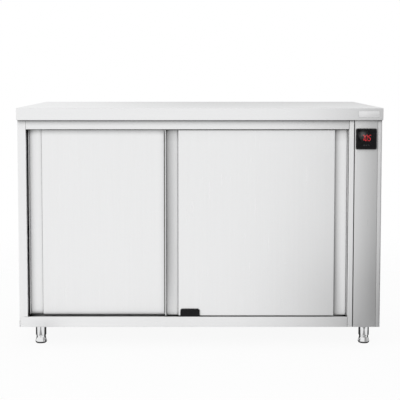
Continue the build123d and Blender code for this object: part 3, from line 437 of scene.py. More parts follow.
def mineral_wool():
    """Mineral wool batt: matted fibres in layers."""

    def build(graph):
        fibres = graph.noise((300.0, 300.0, 900.0), 6.0, 0.7)
        layers = graph.noise((12.0, 12.0, 60.0), 3.0)
        return {
            "Base Color": graph.mix(fibres * 0.7 + layers * 0.3, (0.48, 0.4, 0.2), (0.8, 0.74, 0.5)),
            "Roughness": fibres * 0.1 + 0.85,
            "Normal": graph.relief(fibres, 0.003, 0.8),
        }

    return finish("mineral_wool", build)


def laminated():
    """Motor stack: varnished laminations of 1 mm with grooves between them."""

    def build(graph):
        turns = graph.axis("X") * (2.0 * math.pi / MM)
        joints = turns.math("SINE") * 0.5 + 0.5
        varnish = graph.noise(60.0, 4.0)
        return {
            "Base Color": graph.mix(varnish.step(0.3, 0.7), (0.07, 0.075, 0.08), (0.14, 0.15, 0.16)),
            "Metallic": 0.6,
            "Roughness": varnish * 0.2 + 0.32,
            "Normal": graph.relief(joints, 0.0001),
        }

    return finish("motor_laminations", build)


# Sheet that is ground along X. The rest is ground along Z.
GROUND_ALONG_X = {
    "worktop_skin", "header_rail", "bottom_rail", "base_pan", "back_panel", "door_track", "shelf",
    "chamber_floor", "chamber_ceiling", "chamber_back_wall",
}


def slot_finishes(tones):
    """The finish of every material slot but the brushed sheet, which also depends on its grain."""
    oxide, straw, blue = (0.16, 0.13, 0.11), (0.27, 0.2, 0.13), (0.13, 0.13, 0.2)
    return {
        "polished_stainless": polished(tuple(tones.polished)),
        "galvanised": galvanised((0.55, 0.565, 0.575)),
        "aluminium": satin_metal("cast_aluminium", (0.72, 0.73, 0.74), 0.36),
        "blackened_steel": satin_metal("blackened_steel", (0.05, 0.05, 0.052), 0.5, 0.4),
        "motor_steel": laminated(),
        "heater_sheath": heat_tinted("heater_sheath", oxide, straw, blue),
        "black_plastic": moulded("black_plastic", tuple(tones.plastic), 0.42, sheen=0.15),
        "screen": display_glass(),
        "white_nylon": moulded("white_nylon", (0.82, 0.82, 0.79), 0.5, 700.0, 0.00005),
        "grey_plastic": moulded("grey_plastic", (0.26, 0.27, 0.28), 0.5),
        "rubber": moulded("rubber", (0.025, 0.025, 0.025), 0.75, 500.0, 0.0002),
        "board": board(),
        "honeycomb": honeycomb(),
        "mineral_wool": mineral_wool(),
    }


# ---------------------------------------------------------------- surfaces
def grid_faces(rows, columns, row_loop=False, column_loop=False):
    """Quads between neighbouring points of a grid. A looped direction joins its end to its start."""
    row = np.arange(rows if row_loop else rows - 1)[:, None]
    column = np.arange(columns if column_loop else columns - 1)[None, :]
    next_row, next_column = (row + 1) % rows, (column + 1) % columns
    corners = (
        row * columns + column,
        row * columns + next_column,
        next_row * columns + next_column,
        next_row * columns + column,
    )
    return np.stack(np.broadcast_arrays(*corners), -1).reshape(-1, 4)


def linked(name, data):
    """An object of the scene that shows a mesh, lamp or camera."""
    made = bpy.data.objects.new(name, data)
    bpy.context.scene.collection.objects.link(made)
    return made


def piece(name, body, finish_used, points, faces, sharp=0.6):
    """An object from surfaces that share one grid: points is (copies, rows x columns, 3). Edges
    sharper than an angle in radians stay sharp."""
    points = np.asarray(points, float).reshape(-1, len(points[0].reshape(-1, 3)), 3)
    copies, count = points.shape[:2]
    quads = (faces[None] + np.arange(copies)[:, None, None] * count).reshape(-1, 4)
    mesh = bpy.data.meshes.new(name)
    mesh.from_pydata(points.reshape(-1, 3).tolist(), [], quads.tolist())
    work = bmesh.new()
    work.from_mesh(mesh)
    bmesh.ops.remove_doubles(work, verts=work.verts, dist=1e-7)
    bmesh.ops.recalc_face_normals(work, faces=work.faces)
    work.to_mesh(mesh)
    work.free()
    mesh.polygons.foreach_set("use_smooth", np.ones(len(mesh.polygons), bool))
    mesh.set_sharp_from_angle(angle=sharp)
    mesh.materials.append(finish_used)
    made = linked(name, mesh)
    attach(made, body)
    return made


def facing(points, direction, places):
    """Local points, whose third axis points outwards, turned to a direction and set at each place."""
    outward = np.asarray(direction, float)
    level = np.array((0.0, 0.0, 1.0)) if abs(outward[2]) < 0.5 else np.array((0.0, 1.0, 0.0))
    across = np.cross(level, outward)
    up = np.cross(outward, across)
    turned = points.reshape(-1, 3) @ np.stack((across, up, outward))
    return turned[None] + np.asarray(places, float).reshape(-1, 1, 3)


def lathe(radius, height, turns=64):
    """Surface of revolution about Z: at row i and angle a the point is (r_i cos a, r_i sin a, z_i).
    The radius may also change with the angle, as an array of rows by turns."""
    angle = np.linspace(0.0, 2.0 * math.pi, turns, endpoint=False)
    radius = np.broadcast_to(np.asarray(radius, float).reshape(len(height), -1), (len(height), turns))
    height = np.broadcast_to(np.asarray(height, float)[:, None], radius.shape)
    points = np.stack((radius * np.cos(angle), radius * np.sin(angle), height), -1)
    return points, grid_faces(*radius.shape, column_loop=True)


def foot_surface(pitch):
    """The foot's profile turned about Z, in millimetres until the end. The base bulges as a quarter
    ellipse and sweeps up to the neck as a power curve. Above the collar is a thread, whose radius is
    root + (crest - root) * clip(1.3 s - 0.1, 0, 1) with s the triangle wave of z / pitch - a / 2 pi."""
    land, base, neck, collar = 15.5, 20.9, 16.8, 29.7
    widest, waist = 7.5, 24.0
    root, crest, top = 7.2, 7.95, 70.0
    arc = np.linspace(0.0, math.pi / 2, 9)
    flare = np.linspace(0.0, 1.0, 12)[1:]
    edge = np.linspace(0.0, math.pi / 2, 4)
    lower = [
        (np.zeros(1), np.zeros(1)),
        (np.full(1, land * 0.5), np.zeros(1)),
        (land + (base - land) * np.sin(arc), widest * (1.0 - np.cos(arc))),
        (neck + (base - neck) * (1.0 - flare) ** 1.5, widest + (waist - widest) * flare),
        (neck - 0.5 * (1.0 - np.cos(edge)), collar - 0.5 + 0.5 * np.sin(edge)),
        (np.array((12.0, crest, root)), np.full(3, collar)),
    ]
    radius = np.concatenate([part[0] for part in lower])[:, None] * np.ones((1, 32))
    height = np.concatenate([part[1] for part in lower])
    rows = np.arange(collar + 0.4, top - 1.2, pitch / MM / 6.0)
    turn = np.linspace(0.0, 1.0, 32, endpoint=False)
    saw = np.abs(((rows[:, None] / (pitch / MM) - turn) % 1.0) * 2.0 - 1.0)
    thread = root + (crest - root) * np.clip(saw * 1.3 - 0.1, 0.0, 1.0)
    tip = np.array((root, root - 0.8, 0.0))[:, None] * np.ones((1, 32))
    radius = np.concatenate((radius, thread, tip)) * MM
    height = np.concatenate((height, rows, (top - 1.0, top, top))) * MM
    return lathe(radius, height, 32)


def tube_surface(outer, wall, low, high):
    """A tube's closed section turned about Z: outside, eased lower end, inside and flat top."""
    ease = 0.5 * MM
    radius = (outer, outer, outer - ease * 0.3, outer - ease, outer - wall, outer - wall, outer)
    height = (high, low + ease, low + ease * 0.3, low, low, high, high)
    return lathe(np.array(radius), np.array(height), 96)


def bead_surface(ring, radius, ripples=44):
    """A weld bead: a circle of radius r (1 + 0.16 cos(n a)) carried round a ring, so that it looks
    like overlapping drops."""
    angle = np.linspace(0.0, 2.0 * math.pi, ripples * 6, endpoint=False)[:, None]
    around = np.linspace(0.0, 2.0 * math.pi, 10, endpoint=False)[None, :]
    size = radius * (1.0 + 0.16 * np.cos(ripples * angle))
    reach = ring + size * np.cos(around)
    height = np.broadcast_to(size * np.sin(around) * 0.8, reach.shape)
    points = np.stack((reach * np.cos(angle), reach * np.sin(angle), height), -1)
    return points, grid_faces(*reach.shape, row_loop=True, column_loop=True)


def plate_surface(width, height, corner, thickness, rim=0.0):
    """A rounded rectangle drawn in at each row: straight side, eased edge, rim line and flat face.
    A row is the corner centres plus its own radius round each corner."""
    angle = np.linspace(0.0, math.pi / 2, 9)
    quarter = np.stack((np.cos(angle), np.sin(angle)), -1)
    turns = [np.array(t) for t in ((1, 1), (-1, 1), (-1, -1), (1, -1))]
    arcs = np.concatenate(
        [(quarter if sign[0] * sign[1] > 0 else quarter[::-1]) * sign for sign in turns]
    )
    signs = np.repeat(np.stack(turns), len(angle), axis=0)
    ease = min(thickness * 0.4, corner * 0.3)
    rows = [(0.0, 0.0), (0.0, thickness - ease), (ease * 0.3, thickness - ease * 0.3), (ease, thickness)]
    if rim:
        sunk = thickness * 0.7
        rows += [(rim, thickness), (rim * 1.2, sunk), (rim * 1.8, sunk), (rim * 2.0, thickness)]
    inset, level = np.array(rows).T
    centre = np.array((width / 2 - corner, height / 2 - corner))
    reach = np.maximum(corner - inset, 0.0)[:, None, None]
    slack = np.maximum(inset - corner, 0.0)[:, None, None]
    ring = signs * (centre - slack) + arcs * reach
    ring = np.concatenate((ring[:1] * 0.0, ring, ring[-1:] * 0.0))
    level = np.concatenate((level[:1], level, level[-1:]))
    points = np.dstack((ring, np.broadcast_to(level[:, None], ring.shape[:2])))
    return points, grid_faces(*ring.shape[:2], column_loop=True)


def screw_surface(radius):
    """A cross-recessed pan head. A square grid (u, v) is drawn to a disc by u sqrt(1 - v^2 / 2); the
    height is a flattened dome less a cross, and the last ring drops to the seat."""
    steps = np.array((-1.0, -1.0, -0.9, -0.62, -0.5, -0.3, -0.15, 0.0, 0.15, 0.3, 0.5, 0.62, 0.9, 1.0, 1.0))
    u, v = np.meshgrid(steps, steps, indexing="ij")
    x, y = u * np.sqrt(1.0 - v * v / 2.0), v * np.sqrt(1.0 - u * u / 2.0)
    away = np.clip(np.hypot(x, y), 0.0, 1.0)
    dome = 0.62 * (1.0 - away**4) ** 0.5 + 0.02
    arm = (np.abs(x) < 0.2) | (np.abs(y) < 0.2)
    dome = dome - np.where(arm & (away < 0.56), 0.36 * (1.0 - away), 0.0)
    border = np.zeros_like(dome, bool)
    border[[0, -1], :] = border[:, [0, -1]] = True
    height = np.where(border, -0.05, dome)
    return np.stack((x, y, height), -1) * radius, grid_faces(len(steps), len(steps))


def rivet_surface(radius):
    """A blind rivet: a low dome with the mandrel's dimple, turned about Z."""
    away = np.array((0.0, 0.24, 0.3, 0.36, 0.6, 0.82, 0.95, 1.0, 1.0))
    height = np.array((0.18, 0.18, 0.3, 0.42, 0.38, 0.28, 0.16, 0.06, -0.03))
    return lathe(away * radius, height * radius, 16)


def stroke_surface(starts, ends, half_width, lift, taper=0.22):
    """Lens-shaped strokes between pairs of points. Along a stroke the half width w and the lift h
    grow from nothing over the taper; round it the section is (w cos a, h sin a)."""
    starts, ends = np.asarray(starts, float), np.asarray(ends, float)
    run = np.array((0.0, 0.4, 1.0)) * taper
    along = np.concatenate((run, 1.0 - run[::-1]))
    swell = np.concatenate(((0.0, 0.5, 1.0), (1.0, 0.5, 0.0)))
    around = np.linspace(0.0, 2.0 * math.pi, 8, endpoint=False)
    span = ends - starts
    normal = np.stack((-span[:, 1], span[:, 0]), -1) / np.linalg.norm(span, axis=1)[:, None]
    middle = starts[:, None] + span[:, None] * along[None, :, None]
    aside = normal[:, None, None] * (half_width * swell[None, :, None] * np.cos(around))[..., None]
    flat = middle[:, :, None] + aside
    height = np.broadcast_to(lift * swell[None, :, None] * np.sin(around), flat.shape[:3])
    points = np.concatenate((flat, height[..., None]), -1)
    return points.reshape(len(starts), -1, 3), grid_faces(len(along), len(around), column_loop=True)


# ---------------------------------------------------------------- where things are
apron_low, apron_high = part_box("worktop_skin")
screen_low, screen_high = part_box("controller_screen")
cover_low, cover_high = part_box("service_cover")
back_low, back_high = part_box("back_panel")
guard_low, guard_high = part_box("air_guard")
upright_low, upright_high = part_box("shelf_uprights")
header_low, header_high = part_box("header_rail")
rail_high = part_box("bottom_rail")[1]
FEET = [name for name in nodes if name.startswith("foot_")]
OUT_FRONT, OUT_BACK, OUT_LEFT, OUT_RIGHT = (0, -1, 0), (0, 1, 0), (-1, 0, 0), (1, 0, 0)
OUT_UP = (0, 0, 1)

# A digit's segments on a grid one wide and two high, and the segments that each digit lights.
SEGMENT_ENDS = {
    "a": ((0, 2), (1, 2)),
    "b": ((1, 2), (1, 1)),
    "c": ((1, 1), (1, 0)),
    "d": ((0, 0), (1, 0)),
    "e": ((0, 1), (0, 0)),
    "f": ((0, 2), (0, 1)),
    "g": ((0, 1), (1, 1)),
}
SEGMENTS_OF = {
    "0": "abcdef",
    "1": "bc",
    "2": "abged",
    "3": "abgcd",
    "4": "fgbc",
    "5": "afgcd",
    "6": "afgedc",
    "7": "abc",
    "8": "abcdefg",
    "9": "abfgcd",
}
# Key marks on the glass: each one's column, then its strokes in units of its own size. They are an
# open ring with a bar, and two arrow heads.
KEY_MARKS = (
    (-1.0, ((-0.7, 0.3), (-1.0, -0.3)), ((-1.0, -0.3), (-0.5, -0.9)), ((-0.5, -0.9), (0.5, -0.9)),
     ((0.5, -0.9), (1.0, -0.3)), ((1.0, -0.3), (0.7, 0.3)), ((0.0, 0.9), (0.0, -0.1))),
    (0.0, ((-0.8, 0.4), (0.0, -0.5)), ((0.0, -0.5), (0.8, 0.4))),
    (1.0, ((-0.8, -0.4), (0.0, 0.5)), ((0.0, 0.5), (0.8, -0.4))),
)


def finishes():
    """Every material by name. A name that the frame's materials have too gives the frame's plain
    one, as polished_stainless and rubber do here."""
    return {made.name: made for made in bpy.data.materials}


def centre_of(low, high):
    return np.array(low + high) / 2.0


def front_strokes(name, finish_used, ends, half_width, lift, place, taper=0.22):
    """A piece of strokes between pairs of points, on a face that looks to the front."""
    points, faces = stroke_surface(ends[:, 0], ends[:, 1], half_width, lift, taper)
    turned = facing(points, OUT_FRONT, place).reshape(len(ends), -1, 3)
    piece(name, "cabinet", finish_used, turned, faces)


# ---------------------------------------------------------------- operators
class CABINET_OT_finishes(bpy.types.Operator):
    """Give every part of the cabinet the finish of its material"""

    bl_idname = "cabinet.finishes"
    bl_label = "Finishes"

    def execute(self, context):
        tones = context.scene.cabinet_colours
        by_slot = slot_finishes(tones)
        steel = tuple(tones.stainless)
        sheet = {axis: brushed("stainless_grain_" + axis.lower(), steel, axis) for axis in "XZ"}
        door_low, door_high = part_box("right_door_skin")
        fascia_low, fascia_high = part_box("control_fascia")
        post_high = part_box("control_post")[1]
        channel, lip, crease = 44.7 * MM, 3.0 * MM, 3.5 * MM
        pulls = ((door_low[0] + lip, channel - crease, 0.14, 3.6),
                 (door_low[0] + lip + channel - crease, crease, 0.01, 60.0),
                 (door_high[0] - lip - channel, channel, 0.3, 0.7))
        fascia = ((fascia_low[0], fascia_high[0] - fascia_low[0], -0.055, 0.0),)
        post = ((post_high[0] - 0.02, 0.02, 0.03, -1.0),)
        header = ((0.0, 0.53, -0.03, 0.0),)
        apron = ((0.35, 0.3, -0.03, 0.0),)
        # joint and reach set how far the painted shade of joints and folds spreads on each sheet.
        bowed = {
            "right_door_skin": brushed("stainless_front_door", steel, "Z", bends=pulls, joint=0.0035),
            "left_door_skin": brushed("stainless_rear_door", steel, "Z", joint=0.004, reach=0.028),
            "header_rail": brushed("stainless_header", steel, "X", bends=header, joint=0.02),
            "worktop_skin": brushed("stainless_worktop", steel, "X", bends=apron),
            "left_side_panel": brushed("stainless_side", steel, "Z", joint=0.02),
            "control_fascia": brushed("stainless_fascia", steel, "Z", bends=fascia, joint=0.004),
            "control_post": brushed("stainless_post", steel, "Z", bends=post),
        }
        for entry in frame["record"]["subparts"]:
            name, slot = entry["node"], entry["material_slot"]
            grain = "X" if name in GROUND_ALONG_X else "Z"
            used = sheet[grain] if slot == "stainless" else by_slot[slot]
            used = bowed.get(name, used)
            mesh_slots = nodes[name].material_slots
            if not mesh_slots:
                raise RuntimeError(f"{name} has no material slot to fill")
            for mesh_slot in mesh_slots:
                mesh_slot.material = used
        return {"FINISHED"}


class CABINET_OT_feet(bpy.types.Operator):
    """Turn the four levelling feet with their threaded spindles"""

    bl_idname = "cabinet.feet"
    bl_label = "Levelling feet"

    def execute(self, context):
        points, faces = foot_surface(context.scene.cabinet_sizes.thread_pitch)
        steel = finishes()["polished_stainless"]
        for name in FEET:
            low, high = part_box(name)
            place = (*centre_of(low, high)[:2], 0.0)
            _, row, side = name.split("_")
            body = f"{row}_{side}_foot"
            made = piece(f"levelling_{name}", body, steel,
                         facing(points, OUT_UP, place), faces, 0.5)
            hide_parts(name)
        return {"FINISHED"}


class CABINET_OT_legs(bpy.types.Operator):
    """Make the four leg tubes and the weld beads that hold them to the base"""

    bl_idname = "cabinet.legs"
    bl_label = "Legs and welds"

    def execute(self, context):
        low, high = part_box("leg_tubes")
        centres = [(*centre_of(*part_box(name))[:2], 0.0) for name in FEET]
        radius = high[0] - max(place[0] for place in centres)
        wall = 1.5 * MM
        points, faces = tube_surface(radius, wall, low[2], high[2])
        steel = finishes()["polished_stainless"]
        made = piece("legs", "cabinet", steel,
                     facing(points, OUT_UP, centres), faces)
        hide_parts("leg_tubes")
        size = context.scene.cabinet_sizes.bead_radius
        points, faces = bead_surface(radius, size)
        tint = heat_tinted("weld_tint", (0.56, 0.54, 0.5), (0.58, 0.46, 0.3), (0.36, 0.37, 0.5))
        under_pan = [(x, y, high[2] - size * 0.3) for x, y, _ in centres]
        piece("leg_welds", "cabinet", tint, facing(points, OUT_UP, under_pan), faces)
        return {"FINISHED"}


class CABINET_OT_badge(bpy.types.Operator):
    """Fix the bare badge to the right end of the worktop's apron"""

    bl_idname = "cabinet.badge"
    bl_label = "Bare badge"

    def execute(self, context):
        sizes = context.scene.cabinet_sizes
        width, height, thickness = sizes.badge_width, sizes.badge_height, sizes.badge_thickness
        corner, rim, raised = 1.6 * MM, 1.1 * MM, 0.4 * MM
        points, faces = plate_surface(width, height, corner, thickness, rim)
        centre_x = apron_high[0] - sizes.badge_end_gap - width / 2
        place = (centre_x, apron_low[1], (apron_low[2] + apron_high[2]) / 2 + raised)
        tone = tuple(context.scene.cabinet_colours.badge)
        satin = brushed("badge_aluminium", tone, "X", 0.5, 0.0, metallic=0.4)
        piece("badge", "cabinet", satin, facing(points, OUT_FRONT, place), faces)
        return {"FINISHED"}


class CABINET_OT_display(bpy.types.Operator):
    """Draw the display's lit and unlit segments and the marks of its touch keys"""

    bl_idname = "cabinet.display"
    bl_label = "Display"

    def execute(self, context):
        sizes = context.scene.cabinet_sizes
        shown = sizes.shown_value
        if len(shown) != 3 or any(digit not in SEGMENTS_OF for digit in shown):
            raise RuntimeError("the display shows three digits")
        lean = math.tan(sizes.digit_slant)
        drawn_in = 0.07
        strokes = {True: [], False: []}
        for index, digit in enumerate(shown):
            for segment, ends in SEGMENT_ENDS.items():
                flat = np.array(ends, float) * (sizes.digit_width, sizes.digit_height / 2)
                flat = flat + (flat[::-1] - flat) * drawn_in
                flat[:, 0] += flat[:, 1] * lean + (index - 1) * sizes.digit_pitch
                strokes[segment in SEGMENTS_OF[digit]].append(flat)
        # The decimal point is a short stroke after the middle digit.
        point = np.array(((0.0, -0.2), (1.9, -0.2))) * MM
        point[:, 0] += 0.5 * sizes.digit_pitch + sizes.digit_width * 0.62
        strokes[True].append(point)
        aside, up = -0.6 * MM, 4.0 * MM
        offset = np.array((aside - sizes.digit_width / 2 - sizes.digit_height * lean / 2,
                           up - sizes.digit_height / 2))
        middle = centre_of(screen_low, screen_high)
        place = (middle[0], screen_low[1], middle[2])
        red = lit_segments(tuple(context.scene.cabinet_colours.digits))
        dark = moulded("unlit_segments", (0.03, 0.012, 0.012), 0.4)
        for lit, name, used in ((True, "lit_digits", red), (False, "unlit_digits", dark)):
            ends = np.array(strokes[lit]) + offset
            front_strokes(name, used, ends, half_width=0.8 * MM, lift=0.05 * MM, place=place)
        size, pitch, aside, down = 1.5 * MM, 8.4 * MM, -0.4 * MM, -22.0 * MM
        marks = np.array([np.array(stroke) * size + (column * pitch + aside, down)
                          for column, *group in KEY_MARKS for stroke in group])
        print_grey = moulded("key_print", (0.3, 0.3, 0.31), 0.5)
        front_strokes("key_marks", print_grey, marks,
                      half_width=0.32 * MM, lift=0.03 * MM, place=place, taper=0.12)
        return {"FINISHED"}


class CABINET_OT_seams(bpy.types.Operator):
    """Draw the fine open seams where the left side panel meets the two rails"""

    bl_idname = "cabinet.seams"
    bl_label = "Seams"

    def execute(self, context):
        side = header_low[0]
        end_gap, run = 0.3 * MM, 12.0 * MM
        rail_line = rail_high[2] - 0.5 * MM
        header = ((side, header_low[2] + end_gap), (side, header_high[2] - end_gap))
        rail = ((side - run, rail_line), (side, rail_line))
        ends = np.array((header, rail))
        # The strokes are dark: painted shadow in the open seams.
        dark = satin_metal("seam_shadow", (0.06, 0.06, 0.06), 0.6, 0.5)
        place = (0.0, header_low[1], 0.0)
        front_strokes("panel_seams", dark, ends,
                      half_width=0.4 * MM, lift=0.06 * MM, place=place, taper=0.02)
        return {"FINISHED"}


class CABINET_OT_seal(bpy.types.Operator):
    """Fit the rubber strip that closes the gap between the doors, behind the front door's left edge"""

    bl_idname = "cabinet.seal"
    bl_label = "Door seal"

    def execute(self, context):
        sizes = context.scene.cabinet_sizes
        low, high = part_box("right_door_skin")
        pan_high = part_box("right_door_pan")[1]
        hidden, end_gap, thickness, corner = 8.0 * MM, 6.0 * MM, 2.4 * MM, 0.8 * MM
        # The strip shows as a dark line beyond the door's edge: rubber, and also painted shadow of the gap
        # between the doors.
        width = sizes.seal_reach + hidden
        points, faces = plate_surface(width, high[2] - low[2] - 2.0 * end_gap, corner, thickness)
        clear = 0.05 * MM
        seat = max(high[1], pan_high[1]) + thickness + clear
        place = (low[0] - sizes.seal_reach + width / 2, seat, (low[2] + high[2]) / 2)
        rubber = finishes()["rubber"]
        piece("door_seal", "right_door", rubber, facing(points, OUT_FRONT, place), faces)
        return {"FINISHED"}


class CABINET_OT_screws(bpy.types.Operator):
    """Drive the cross-recessed screws of the service cover, air guard and shelf uprights"""

    bl_idname = "cabinet.screws"
    bl_label = "Screws"

    def execute(self, context):
        points, faces = screw_surface(context.scene.cabinet_sizes.screw_radius)
        steel = satin_metal("screw_steel", (0.62, 0.62, 0.63), 0.3)
        margin = 6.0 * MM
        rows = np.linspace(cover_low[2] + margin, cover_high[2] - margin, 3)
        seat = back_high[1]
        cover = [(x, seat, z) for x in (cover_low[0] + margin, cover_high[0] - margin) for z in rows]
        piece("service_cover_screws", "cabinet", steel, facing(points, OUT_BACK, cover), faces)
        sheet = 1.0 * MM
        wall = guard_high[0] - sheet
        guard = [(wall, y, z) for y in (guard_low[1] + margin, guard_high[1] - margin)
                 for z in (guard_low[2] + margin, guard_high[2] - margin)]
        piece("air_guard_screws", "cabinet", steel, facing(points, OUT_LEFT, guard), faces)
        half, depth, end_gap = 12.5 * MM, 10.0 * MM, 22.0 * MM
        levels = (upright_low[2] + end_gap, upright_high[2] - end_gap)
        columns = (upright_low[1] + half, upright_high[1] - half)
        for side, x, out in (("left", upright_low[0] + depth, OUT_RIGHT),
                             ("right", upright_high[0] - depth, OUT_LEFT)):
            turned = facing(points, out, [(x, y, z) for y in columns for z in levels])
            piece(f"upright_screws_{side}", "cabinet", steel, turned, faces)
        return {"FINISHED"}


class CABINET_OT_back(bpy.types.Operator):
    """Rivet the back panel round its edge"""

    bl_idname = "cabinet.back"
    bl_label = "Back panel rivets"

    def execute(self, context):
        sizes = context.scene.cabinet_sizes
        points, faces = rivet_surface(sizes.rivet_radius)
        steel = finishes()["screw_steel"]
        margin = 9.0 * MM
        low = np.array(back_low) + margin
        high = np.array(back_high) - margin
        seat = back_high[1]
        columns = np.linspace(low[0], high[0], int((high[0] - low[0]) / sizes.rivet_pitch) + 1)
        levels = np.linspace(low[2], high[2], int((high[2] - low[2]) / sizes.rivet_pitch) + 1)
        places = [(x, seat, z) for x in columns for z in (low[2], high[2])]
        places += [(x, seat, z) for x in (low[0], high[0]) for z in levels[1:-1]]
        piece("back_panel_rivets", "cabinet", steel, facing(points, OUT_BACK, places), faces)
        return {"FINISHED"}


# ---------------------------------------------------------------- studio
# Lens and sensor in millimetres, places in metres and the tilt down in radians.
CAMERA_LENS, CAMERA_SENSOR, CAMERA_SHIFT = 89.53656, 36.0, -0.15
CAMERA_PLACE, CAMERA_TILT = (0.001, -3.86697, 0.99786), 0.0699
FLOOR_HALF = 5.0
GLINT_PLACE, GLINT_HALF = (0.868, -2.11, 0.655), 0.03


def lamp(name, place, target, size, power):
    """A square soft box that points at a target. The surround stands for it in reflections."""
    light = bpy.data.lights.new(name, "AREA")
    light.shape = "SQUARE"
    light.size = size
    light.energy = power
    made = linked(name, light)
    made.location = place
    away = np.array(place, float) - np.array(target, float)
    flat = math.hypot(away[0], away[1])
    made.rotation_euler = (math.atan2(flat, away[2]), 0.0, math.atan2(away[0], -away[1]))
    made.visible_glossy = False


def reflected_card(name, low, high, surface):
    """A flat studio card between its lowest and highest corner that shows only in reflections.
    surface(graph) gives its shader."""
    second, fourth = list(low), list(high)
    across = next(axis for axis in range(3) if low[axis] != high[axis])
    second[across], fourth[across] = high[across], low[across]
    mesh = bpy.data.meshes.new(name)
    mesh.from_pydata([low, second, high, fourth], [], [(0, 1, 2, 3)])
    mesh.materials.append(material(name, surface))
    made = linked(name, mesh)
    made.visible_camera = False
    made.visible_diffuse = False
    made.visible_shadow = False


def scrim(name, low, high, density):
    """A card that holds back the share density(graph) of the white surround."""

    def surface(graph):
        black = graph.node("ShaderNodeBsdfDiffuse", None, {"Color": BLACK})
        clear = graph.node("ShaderNodeBsdfTransparent")
        return graph.blend(density(graph), clear, black)

    reflected_card(name, low, high, surface)


def seen_rays(graph):
    """1 for what the camera, a reflection or a clear pane shows, 0 for the light on a surface."""
    kinds = ("Is Camera Ray", "Is Glossy Ray", "Is Transmission Ray")
    rays = [graph.node("ShaderNodeLightPath", out=kind) for kind in kinds]
    return (rays[0] + rays[1] + rays[2]).math("MINIMUM", 1.0)


def floor_finish(tone):
    """Pale painted floor that fades into the white surround."""

    def surface(graph):
        paint = graph.noise(30.0, 4.0)
        across, along = graph.axis("X"), graph.axis("Y")
        away = (across * across + along * along) ** 0.5
        sockets = {
            "Base Color": graph.mix(paint.step(0.2, 0.8), shade(tone, 0.992), tone),
            "Roughness": paint * 0.1 + 0.85,
            "Specular IOR Level": 0.1,
        }
        painted = graph.node("ShaderNodeBsdfPrincipled", None, sockets)
        white = graph.node("ShaderNodeEmission", None, {"Color": WHITE})
        lit = graph.blend(seen_rays(graph) * 0.93, painted, white)
        clear = graph.node("ShaderNodeBsdfTransparent")
        return graph.blend(away.step(1.0, 2.6), lit, clear)

    return material("studio_floor", surface)


def front_floor_density(graph):
    """Darkest at the right, and a little darker close before the cabinet."""
    right = graph.axis("X").step(0.1, 1.1) * 0.88
    return right + graph.axis("X").step(-0.6, 0.0) * graph.axis("Y").step(-0.9, -0.6) * 0.08


def painted_shadow_density(graph):
    """Painted shadow under the cabinet, seen only in reflections: dark, fading out at the two ends of its
    rear half.
    """
    ends = graph.axis("X").math("ABSOLUTE").step(0.66, 0.88)
    return (1.0 - ends * graph.axis("Y").step(-0.25, -0.02)) * 0.96


def glint(graph):
    """A round spot of light that fades out from its middle."""
    across, up = graph.axis("X") - GLINT_PLACE[0], graph.axis("Z") - GLINT_PLACE[2]
    away = (across * across + up * up) ** 0.5
    sockets = {"Color": WHITE, "Strength": (1.0 - away.step(0.003, 0.028)) * 12.0}
    return graph.node("ShaderNodeEmission", None, sockets)


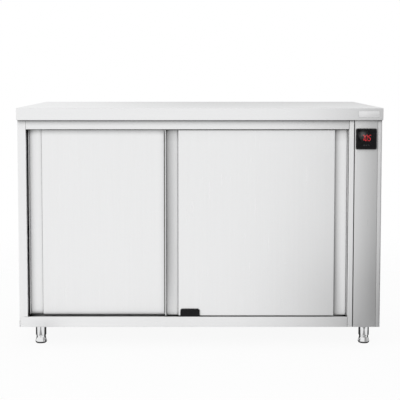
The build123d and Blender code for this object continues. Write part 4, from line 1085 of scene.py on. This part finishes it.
class CABINET_OT_studio(bpy.types.Operator):
    """Set up the floor, the white surround, the soft boxes and the camera"""

    bl_idname = "cabinet.studio"
    bl_label = "Studio"

    def execute(self, context):
        scene = context.scene
        scene.view_settings.view_transform = "Standard"
        world = bpy.data.worlds.new("studio")
        world.use_nodes = True
        scene.world = world
        graph = Graph(world.node_tree)
        sky = {"Color": WHITE, "Strength": seen_rays(graph) * 0.45 + 0.55}
        surround = graph.node("ShaderNodeBackground", None, sky)
        graph.node("ShaderNodeOutputWorld", None, {"Surface": surround})

        lines = np.linspace(-FLOOR_HALF, FLOOR_HALF, 21)
        across, along = np.meshgrid(lines, lines)
        flat = np.stack((across, along, np.zeros_like(across)), -1).reshape(-1, 3)
        mesh = bpy.data.meshes.new("studio_floor")
        mesh.from_pydata(flat.tolist(), [], grid_faces(len(lines), len(lines)).tolist())
        mesh.materials.append(floor_finish(tuple(scene.cabinet_colours.floor)))
        ground = linked("studio_floor", mesh)

        lamp("soft_box_left", (-2.2, -2.6, 2.9), target=(0.0, 0.0, 0.45), size=2.4, power=36.0)
        lamp("soft_box_top", (0.3, 0.2, 3.6), target=(0.0, 0.0, 0.4), size=3.0, power=30.0)

        scrim("scrim_back", (-1.2, 0.6, 0.87), (1.2, 0.6, 1.15),
              lambda graph: graph.axis("X").step(-0.7, 0.1) * 0.22 + 0.09)
        scrim("scrim_right", (0.3, -1.5, 0.0), (2.2, -1.5, 1.6),
              lambda graph: graph.axis("X").step(0.4, 1.4) * (1.0 - graph.axis("Z").step(0.9, 1.6)) * 0.66)
        scrim("scrim_side", (2.2, -1.5, 0.0), (2.2, 0.3, 2.0), lambda graph: 0.45)
        # Where scrims on the floor overlap, each has a height of its own.
        under, wide, at_foot, before_foot = 0.0006, 0.0009, 0.001, 0.0012
        scrim("scrim_floor", (-0.6, -1.5, wide), (2.2, -0.4, wide), front_floor_density)
        scrim("scrim_floor_rear", (-0.2, 0.6, wide), (2.4, 2.6, wide),
              lambda graph: graph.axis("X").step(-0.2, 1.8) * 0.6)
        # A dark sheet on the floor, seen only in reflections, paints the cabinet's shadow under it.
        scrim("scrim_under", (-0.88, -0.285, under), (0.88, 0.35, under), painted_shadow_density)
        half, narrow, reach = 0.04, 0.03, 0.33
        for name in FEET:
            x, y, _ = centre_of(*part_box(name))
            # A dark square on the floor round each foot, seen only in reflections, paints the foot's
            # contact shadow.
            scrim("scrim_" + name, (x - half, y - half, at_foot), (x + half, y + half, at_foot),
                  lambda graph: 0.92)
            if "front" in name:
                scrim("scrim_before_" + name, (x - narrow, y - reach, before_foot),
                      (x + narrow, y - half, before_foot), lambda graph: 0.62)
        x, y, z = GLINT_PLACE
        low = (x - GLINT_HALF, y, z - GLINT_HALF)
        high = (x + GLINT_HALF, y, z + GLINT_HALF)
        reflected_card("glint", low, high, glint)

        camera = linked("camera", bpy.data.cameras.new("camera"))
        camera.data.lens = CAMERA_LENS
        camera.data.sensor_width = CAMERA_SENSOR
        camera.data.shift_y = CAMERA_SHIFT
        camera.location = CAMERA_PLACE
        camera.rotation_euler = (math.pi / 2 - CAMERA_TILT, 0.0, 0.0)
        scene.camera = camera
        return {"FINISHED"}


class CABINET_PT_build(bpy.types.Panel):
    """The cabinet's pieces, sizes and colours"""

    bl_label = "Plate warmer cabinet"
    bl_idname = "CABINET_PT_build"
    bl_space_type = "VIEW_3D"
    bl_region_type = "UI"
    bl_category = "Cabinet"

    def draw(self, context):
        for operator in OPERATORS:
            self.layout.operator(operator.bl_idname)
        for group in (context.scene.cabinet_sizes, context.scene.cabinet_colours):
            box = self.layout.box()
            for name in type(group).__annotations__:
                box.prop(group, name)


OPERATORS = (
    CABINET_OT_finishes,
    CABINET_OT_feet,
    CABINET_OT_legs,
    CABINET_OT_badge,
    CABINET_OT_display,
    CABINET_OT_seams,
    CABINET_OT_seal,
    CABINET_OT_screws,
    CABINET_OT_back,
    CABINET_OT_studio,
)
CLASSES = (CabinetSizes, CabinetColours, *OPERATORS, CABINET_PT_build)


def register():
    for cls in CLASSES:
        bpy.utils.register_class(cls)
    bpy.types.Scene.cabinet_sizes = bpy.props.PointerProperty(type=CabinetSizes)
    bpy.types.Scene.cabinet_colours = bpy.props.PointerProperty(type=CabinetColours)


def unregister():
    del bpy.types.Scene.cabinet_colours
    del bpy.types.Scene.cabinet_sizes
    for cls in reversed(CLASSES):
        bpy.utils.unregister_class(cls)


def main():
    """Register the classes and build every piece."""
    register()
    for operator in OPERATORS:
        group, name = operator.bl_idname.split(".")
        getattr(getattr(bpy.ops, group), name)()


if __name__ == "__main__":
    main()
